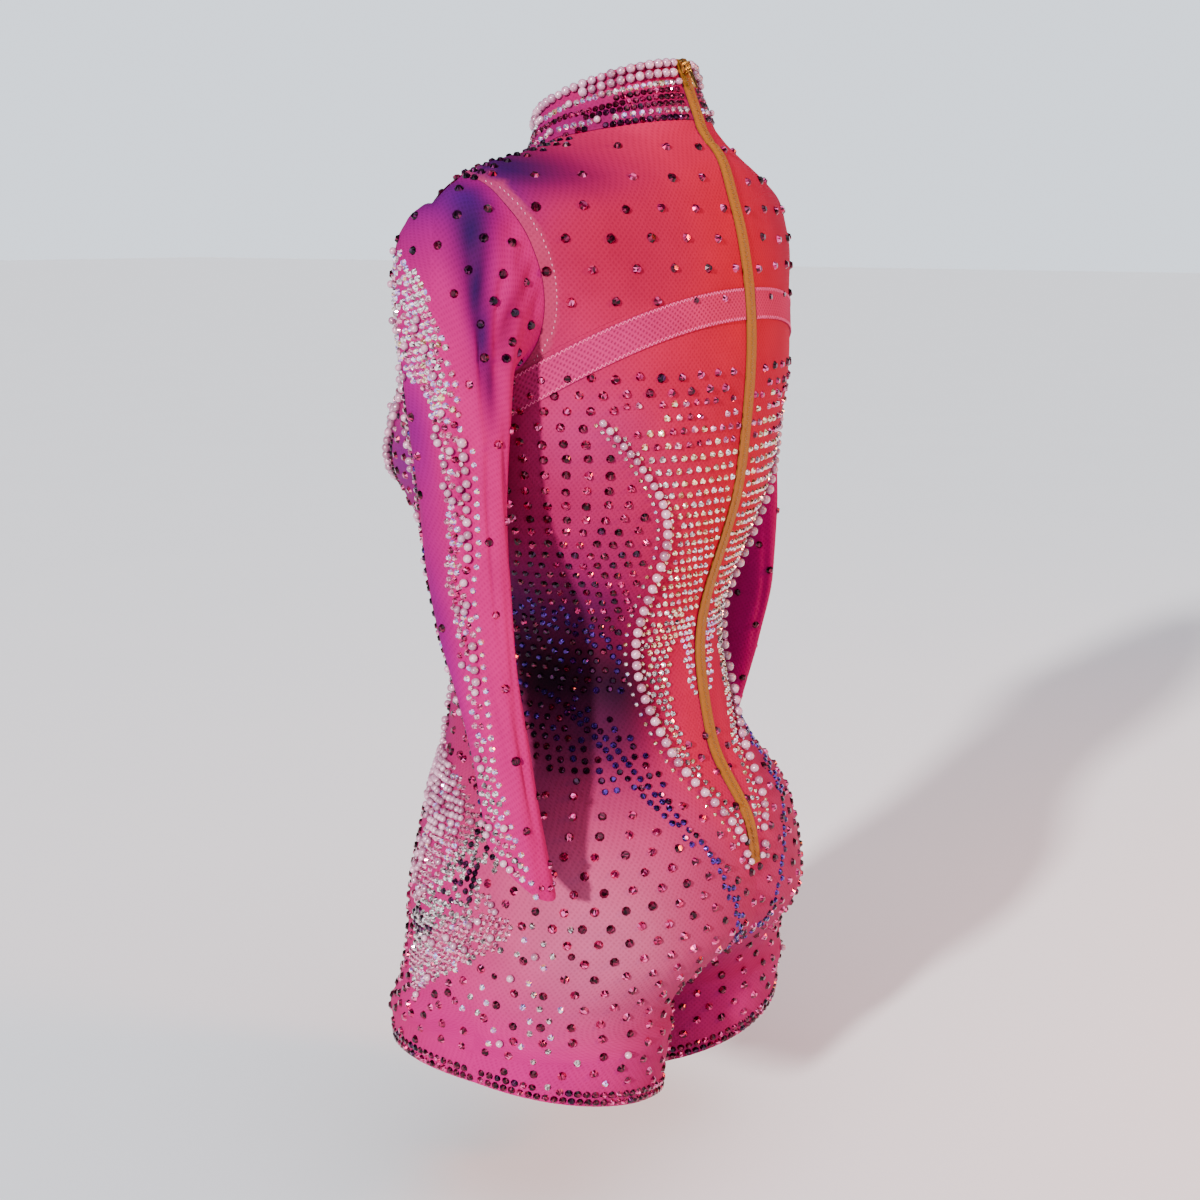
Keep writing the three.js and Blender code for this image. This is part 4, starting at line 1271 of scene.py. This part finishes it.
stoneObjects = {}
for kind, stones in laid.items():
    if kind == "pearl":
        stoneObjects[kind] = joinedStones("pearls", shapes["pearl"], stones, pearlTones, False)
    else:
        stoneObjects[kind] = joinedStones("stones_" + kind, shapes["stone"], stones, glassAndGlintTones[kind], True)
print("stones joined", {kind: len(stones) for kind, stones in laid.items()})


# One short thread, lying along its first axis.
def threadShape(wide, high):
    bpy.ops.object.select_all(action="DESELECT")
    bpy.ops.mesh.primitive_cylinder_add(vertices=6, radius=0.5, depth=1, rotation=(0, math.pi / 2, 0))
    made = bpy.context.active_object
    bpy.ops.object.transform_apply(location=False, rotation=True)
    openMesh("SELECT")
    bpy.ops.mesh.quads_convert_to_tris()
    closeMesh()
    points, faces = shapeOf(made)
    return points * np.array([1, wide, high]), faces


def joinedThreads(name, threads, shape):
    points, faces = shape
    starts, stops, normals = threads
    run = stops - starts
    first = unit(run)
    second = unit(np.cross(normals, first))
    third = np.cross(first, second)
    middle = (starts + stops) / 2
    where = middle[:, None]
    for k, direction in enumerate((run, second, third)):
        where = where + points[None, :, k:k + 1] * direction[:, None]
    return copies(name, where, faces)


stitch = {
    "zigzag": 3.2, "reach": 2.2, "start": 0.2, "thread": 0.45, "flat": 0.8,
    "armGap": 4.2, "armHalf": 0.7, "fromArm": 8.2,
}


def bandStitches():
    threads = []
    for row, inward in ((0, 1), (-1, -1)):
        run = bandArc[row]
        spots = []
        for n, a in enumerate(np.arange(1, run[-1] - 1, stitch["zigzag"] / 2)):
            p = readAt(a, run, bandLeft[row])
            outwards = readAt(a, run, bandNormal[row])
            inside = unit(readAt(a, run, bandLeft[row + inward]) - p)
            spots.append((p + inside * stitch["reach" if n % 2 else "start"] + outwards * 0.15, outwards))
        threads += [(here[0], after[0], here[1]) for here, after in zip(spots[:-1], spots[1:])]
    return threads


def armStitches():
    threads = []
    for skin in skins.values():
        edge, arcs = skin["grid"][firstArm:lastArm + 1], skin["arc"][firstArm:lastArm + 1]
        run = runOf(edge[:, -1])
        for a in np.arange(4, run[-1] - 4, stitch["armGap"]):
            r = float(np.interp(a, run, np.arange(len(run))))
            r0 = int(r)
            r1 = min(r0 + 1, len(run) - 1)
            back = arcs[r0][-1] - stitch["fromArm"]
            p = readAt(back, arcs[r0], edge[r0])
            way = readAt(back, arcs[r1], edge[r1]) - p
            if np.linalg.norm(way) < 0.05:
                continue
            outwards = skin["normal"][firstArm + r0, -6]
            p = p + way * (r - r0) + outwards * 0.1
            threads.append((p - unit(way) * stitch["armHalf"], p + unit(way) * stitch["armHalf"], outwards))
    return threads


teeth = {"pitch": 1.5, "reach": 1.5, "wide": 0.9, "high": 0.8, "root": 0.35, "raised": 0.25, "top": 14}


def zipTeeth():
    threads = []
    for n, a in enumerate(np.arange(teeth["top"], zipRun[-1] - 3, teeth["pitch"])):
        outwards = readAt(a, zipRun, zipNormal[:, 0])
        p = readAt(a, zipRun, zipCloth[:, 0]) + outwards * (zipPart["lift"] + teeth["raised"])
        p[0] = 0
        out = np.array([1 if n % 2 else -1, 0, 0])
        threads.append((p - out * teeth["root"], p + out * teeth["reach"], outwards))
    return threads


def threadLists(threads, twice=True):
    lists = [np.array(part) for part in zip(*threads)]
    return [np.concatenate([part, part * flipX]) for part in lists] if twice else lists


thread = threadShape(stitch["thread"], stitch["thread"] * stitch["flat"])
zigzag = joinedThreads("band_zigzag", threadLists(bandStitches()), thread)
armSeam = joinedThreads("armhole_stitches", threadLists(armStitches()), thread)
coil = joinedThreads("zip_coil", threadLists(zipTeeth(), False), threadShape(teeth["wide"], teeth["high"]))
print("stitches and zip coil made")


def addNode(tree, kind, settings=None, links=None):
    node = tree.nodes.new(kind)
    for name, value in (settings or {}).items():
        if name in node.inputs and not hasattr(type(node), name):
            node.inputs[name].default_value = value
        else:
            setattr(node, name, value)
    for name, source in (links or {}).items():
        tree.links.new(source, node.inputs[name])
    return node


def four(colour):
    return (*[float(c) for c in hexToLinear(colour)], 1.0)


def newMaterial(name):
    material = bpy.data.materials.new(name)
    material.use_nodes = True
    tree = material.node_tree
    for node in list(tree.nodes):
        if node.type != "OUTPUT_MATERIAL":
            tree.nodes.remove(node)
    return material, tree


# Ends a material with its shader.
def surface(material, settings, links):
    tree = material.node_tree
    shader = addNode(tree, "ShaderNodeBsdfPrincipled", settings, links)
    tree.links.new(shader.outputs["BSDF"], tree.nodes["Material Output"].inputs["Surface"])
    return material


def painted(tree, name):
    return addNode(tree, "ShaderNodeAttribute", {"attribute_name": name}).outputs["Color"]


def onObject(tree):
    return addNode(tree, "ShaderNodeTexCoord").outputs["Object"]


def onCloth(tree):
    return addNode(tree, "ShaderNodeUVMap", {"uv_map": "cloth"}).outputs["UV"]


def noise(tree, place, scale, detail):
    return addNode(tree, "ShaderNodeTexNoise", {"Scale": scale, "Detail": detail},
                   {"Vector": place}).outputs["Fac"]


def ranged(tree, value, low, high, start=0.3, end=0.7):
    settings = {"From Min": start, "From Max": end, "To Min": low, "To Max": high}
    return addNode(tree, "ShaderNodeMapRange", settings, {"Value": value}).outputs["Result"]


def combined(tree, operation, first, second):
    node = addNode(tree, "ShaderNodeMath", {"operation": operation})
    tree.links.new(first, node.inputs[0])
    tree.links.new(second, node.inputs[1])
    return node.outputs["Value"]


# Between two colours, by a share from 0 to 1.
def blended(tree, share, dark, light):
    node = addNode(tree, "ShaderNodeMix", {"data_type": "RGBA"})
    node.inputs[6].default_value = four(dark)
    node.inputs[7].default_value = four(light)
    tree.links.new(share, node.inputs[0])
    return node.outputs[2]


def scaled(tree, colour, share):
    return addNode(tree, "ShaderNodeVectorMath", {"operation": "SCALE"},
                   {"Vector": colour, "Scale": share}).outputs["Vector"]


def bumped(tree, height, strength, distance):
    return addNode(tree, "ShaderNodeBump", {"Strength": strength, "Distance": distance},
                   {"Height": height}).outputs["Normal"]


# Parallel bands. One wave of Blender's band texture is 0.3142 long at scale 1.
def ribs(tree, place, pitch, direction, distortion, **more):
    settings = {"wave_type": "BANDS", "bands_direction": direction, "Scale": 0.3142 / (pitch * mm),
                "Distortion": distortion, **more}
    return addNode(tree, "ShaderNodeTexWave", settings, {"Vector": place}).outputs["Fac"]


# Dyed nylon and elastane stretch mesh: a matt knit whose open holes let a paler ground through,
# with a faint sheen where it turns away. The knit's real pitch is about 0.7 mm, drawn at 2.8 mm
# so that it shows.
def dyedMesh(name, pitch, contrast, bumpDepth, sheen):
    material, tree = newMaterial(name)
    cloth = onCloth(tree)
    net = []
    fuzz = {"Detail": 1.0, "Detail Scale": 0.4}
    for turn in (45, -45):
        spun = addNode(tree, "ShaderNodeMapping", {"Rotation": (0, 0, math.radians(turn))}, {"Vector": cloth})
        net.append(ribs(tree, spun.outputs["Vector"], pitch, "X", 0.6, **fuzz))
    knit = combined(tree, "MULTIPLY", *net)
    bright = ranged(tree, knit, 1.0 + contrast, 1.0 - contrast, 0.0, 1.0)
    cloudy = ranged(tree, noise(tree, cloth, 26.0, 3.0), 0.93, 1.07)
    colour = scaled(tree, painted(tree, "dye"), combined(tree, "MULTIPLY", bright, cloudy))
    return surface(material,
                   {"Roughness": 0.72, "IOR": 1.5, "Specular IOR Level": 0.05, "Sheen Weight": sheen,
                    "Sheen Roughness": 0.4, "Sheen Tint": four("#ff5ca8")},
                   {"Base Color": colour, "Normal": bumped(tree, knit, bumpDepth, 0.0003)})


# Foil-backed cut glass: hard, clear and mirror bright, with the foil's colour behind each facet, brightened
# and darkened at random as painted glints.
def foiledGlass(name, metallic, rough, coat):
    material, tree = newMaterial(name)
    return surface(material,
                   {"Metallic": metallic, "Roughness": rough, "IOR": 1.55, "Coat Weight": coat,
                    "Coat Roughness": 0.03},
                   {"Base Color": painted(tree, "tone")})


# Imitation pearl: acrylic under a coat of nacre lacquer, softly glossy with a bright pin light.
def nacreLacquer(name):
    material, tree = newMaterial(name)
    return surface(material,
                   {"IOR": 1.6, "Coat Weight": 1.0, "Coat Roughness": 0.12, "Coat IOR": 1.7},
                   {"Base Color": painted(tree, "tone"),
                    "Roughness": ranged(tree, noise(tree, onObject(tree), 380.0, 2.0), 0.2, 0.34)})


# Woven polyester zip tape: dull, with fine ribs across it. The ribs are 0.6 mm apart, drawn at 1 mm.
def wovenTape(name):
    material, tree = newMaterial(name)
    cloth = onCloth(tree)
    weave = combined(tree, "ADD", ribs(tree, cloth, 1.0, "Y", 0.4), ribs(tree, cloth, 1.3, "X", 0.3))
    colour = scaled(tree, painted(tree, "dye"), ranged(tree, weave, 0.72, 1.15, 0.0, 2.0))
    return surface(material,
                   {"Roughness": 0.62, "IOR": 1.5, "Specular IOR Level": 0.2, "Sheen Weight": 0.03},
                   {"Base Color": colour, "Normal": bumped(tree, weave, 0.4, 0.0002)})


# Spun polyester thread and moulded nylon coil: plain, slightly glossy, mottled along its length.
def spunThread(name, light, dark, rough, grain):
    material, tree = newMaterial(name)
    fibres = noise(tree, onObject(tree), grain, 2.0)
    return surface(material, {"Roughness": rough, "IOR": 1.5},
                   {"Base Color": blended(tree, fibres, dark, light)})


# Die-cast zinc with polished brass plating: warm and mirror bright, dulled where fingers rub it.
def platedBrass(name):
    material, tree = newMaterial(name)
    rub = noise(tree, onObject(tree), 420.0, 4.0)
    return surface(material, {"Metallic": 1.0},
                   {"Base Color": blended(tree, rub, "#9c7434", "#e0bb6c"),
                    "Roughness": ranged(tree, rub, 0.16, 0.38), "Normal": bumped(tree, rub, 0.15, 0.0001)})


def dress(made, material):
    made.data.materials.clear()
    made.data.materials.append(material)


fineMesh = dyedMesh("dyed_stretch_mesh", 2.8, 0.1, 0.4, 0.02)
coarseMesh = dyedMesh("power_mesh_band", 3.0, 0.32, 0.9, 0.02)
tapeWeave = wovenTape("woven_zip_tape")
for name, made in pieces.items():
    dress(made, coarseMesh if "band" in name else tapeWeave if "tape" in name else fineMesh)
darkGlass = foiledGlass("foiled_glass_dark", 0.85, 0.14, 0.3)
paleGlass = foiledGlass("foiled_glass_pale", 0.8, 0.09, 0.6)
for kind, made in stoneObjects.items():
    dress(made, darkGlass if kind in ("fuchsia", "garnet", "plum", "violet") else paleGlass)
dress(stoneObjects["pearl"], nacreLacquer("pearl_lacquer"))
dress(zigzag, spunThread("zigzag_thread", "#e8609a", "#c83c7c", 0.6, 900.0))
dress(armSeam, spunThread("seam_thread", "#d8a0b8", "#b8789c", 0.6, 900.0))
dress(coil, spunThread("nylon_coil", "#8a5c10", "#5c3a08", 0.5, 700.0))
brass = platedBrass("plated_brass")
for name in ("zip_slider", "zip_pull"):
    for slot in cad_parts[name].material_slots:
        slot.material = brass
print("materials made")

for name, made in pieces.items():
    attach(made, "suit")
    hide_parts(name)
for made in list(stoneObjects.values()) + [zigzag, armSeam, coil]:
    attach(made, "suit")


# Cuts as a maker would lay them flat: width and length in metres, and the area of the shape.
cuts = {
    "front": (0.66, 0.66, 0.29), "back_left": (0.33, 0.71, 0.148), "back_right": (0.33, 0.71, 0.148),
    "sleeve_left": (0.25, 0.455, 0.069), "sleeve_right": (0.25, 0.455, 0.072),
    "collar": (0.37, 0.045, 0.0128),
    "back_band_left": (0.22, 0.027, 0.0056), "back_band_right": (0.22, 0.027, 0.0056),
}
for name, (wide, length, area) in cuts.items():
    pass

# The lights stand in directions from the suit, each with how wide it looks in degrees or metres.
studio = {
    "floor": -0.79, "floorTones": ("#eaf0f6", "#eef3f8"), "sky": "#dfe8f4", "horizon": 1.8, "overhead": 0.12,
    "key": {"energy": 8.2, "towards": (0.9, 0.08, 0.3), "spread": 3.5, "colour": "#fff3ee"},
    "top": {"energy": 2.1, "towards": (0.2, 0.3, 1.0), "spread": 60, "colour": "#f2f6ff"},
    "warm": {"energy": 50, "place": (-0.9, 1.9, 0.4), "aim": (0, 0, -0.33), "size": 0.5, "colour": "#ff8c58"},
}
shot = {
    "lens": 56.2, "sensor": 36, "far": 100, "place": (1.1278, 0.7154, -0.081),
    "look": (-0.8246, -0.5309, -0.1956), "roll": 0.19,
}


def addFloor():
    bpy.ops.object.select_all(action="DESELECT")
    bpy.ops.mesh.primitive_plane_add(size=60, location=(0, 0, studio["floor"]))
    made = bpy.context.active_object
    made.name = "floor"
    material, tree = newMaterial("painted_floor")
    colour = blended(tree, noise(tree, onObject(tree), 3.0, 4.0), *studio["floorTones"])
    dress(made, surface(material, {"Roughness": 0.9}, {"Base Color": colour}))


# Puts a light or the camera in the scene, facing along a direction.
def aimed(name, data, facing):
    made = bpy.data.objects.new(name, data)
    bpy.context.scene.collection.objects.link(made)
    made.rotation_mode = "QUATERNION"
    made.rotation_quaternion = facing.to_track_quat("-Z", "Y")
    return made


def lit(name, kind):
    data = bpy.data.lights.new(name, kind)
    data.energy = studio[name]["energy"]
    data.color = hexToLinear(studio[name]["colour"])
    return data


addFloor()
for name in ("key", "top"):
    sun = lit(name, "SUN")
    sun.angle = math.radians(studio[name]["spread"])
    aimed(name, sun, -Vector(studio[name]["towards"]))
warm = lit("warm", "AREA")
warm.shape = "DISK"
warm.size = studio["warm"]["size"]
warmPlace = Vector(studio["warm"]["place"])
aimed("warm", warm, Vector(studio["warm"]["aim"]) - warmPlace).location = warmPlace

# The pale studio: brightest towards the horizon, dimmer overhead, so that the form keeps its shade.
world = bpy.data.worlds.new("studio")
bpy.context.scene.world = world
world.use_nodes = True
sky = world.node_tree
heading = addNode(sky, "ShaderNodeTexCoord")
parts = addNode(sky, "ShaderNodeSeparateXYZ", None, {"Vector": heading.outputs["Generated"]})
fade = addNode(sky, "ShaderNodeMapRange",
               {"interpolation_type": "SMOOTHSTEP", "From Min": 0.12, "From Max": 0.26,
                "To Min": studio["horizon"], "To Max": studio["overhead"]},
               {"Value": parts.outputs["Z"]})
sky.nodes["Background"].inputs["Color"].default_value = four(studio["sky"])
sky.links.new(fade.outputs["Result"], sky.nodes["Background"].inputs["Strength"])

cameraData = bpy.data.cameras.new("camera")
cameraData.sensor_width = shot["sensor"]
cameraData.lens = shot["lens"]
cameraData.clip_end = shot["far"]
camera = aimed("camera", cameraData, Vector(shot["look"]).normalized())
camera.location = shot["place"]
camera.rotation_quaternion = camera.rotation_quaternion @ Matrix.Rotation(
    math.radians(shot["roll"]), 4, "Z").to_quaternion()
bpy.context.scene.camera = camera
print("stage set")
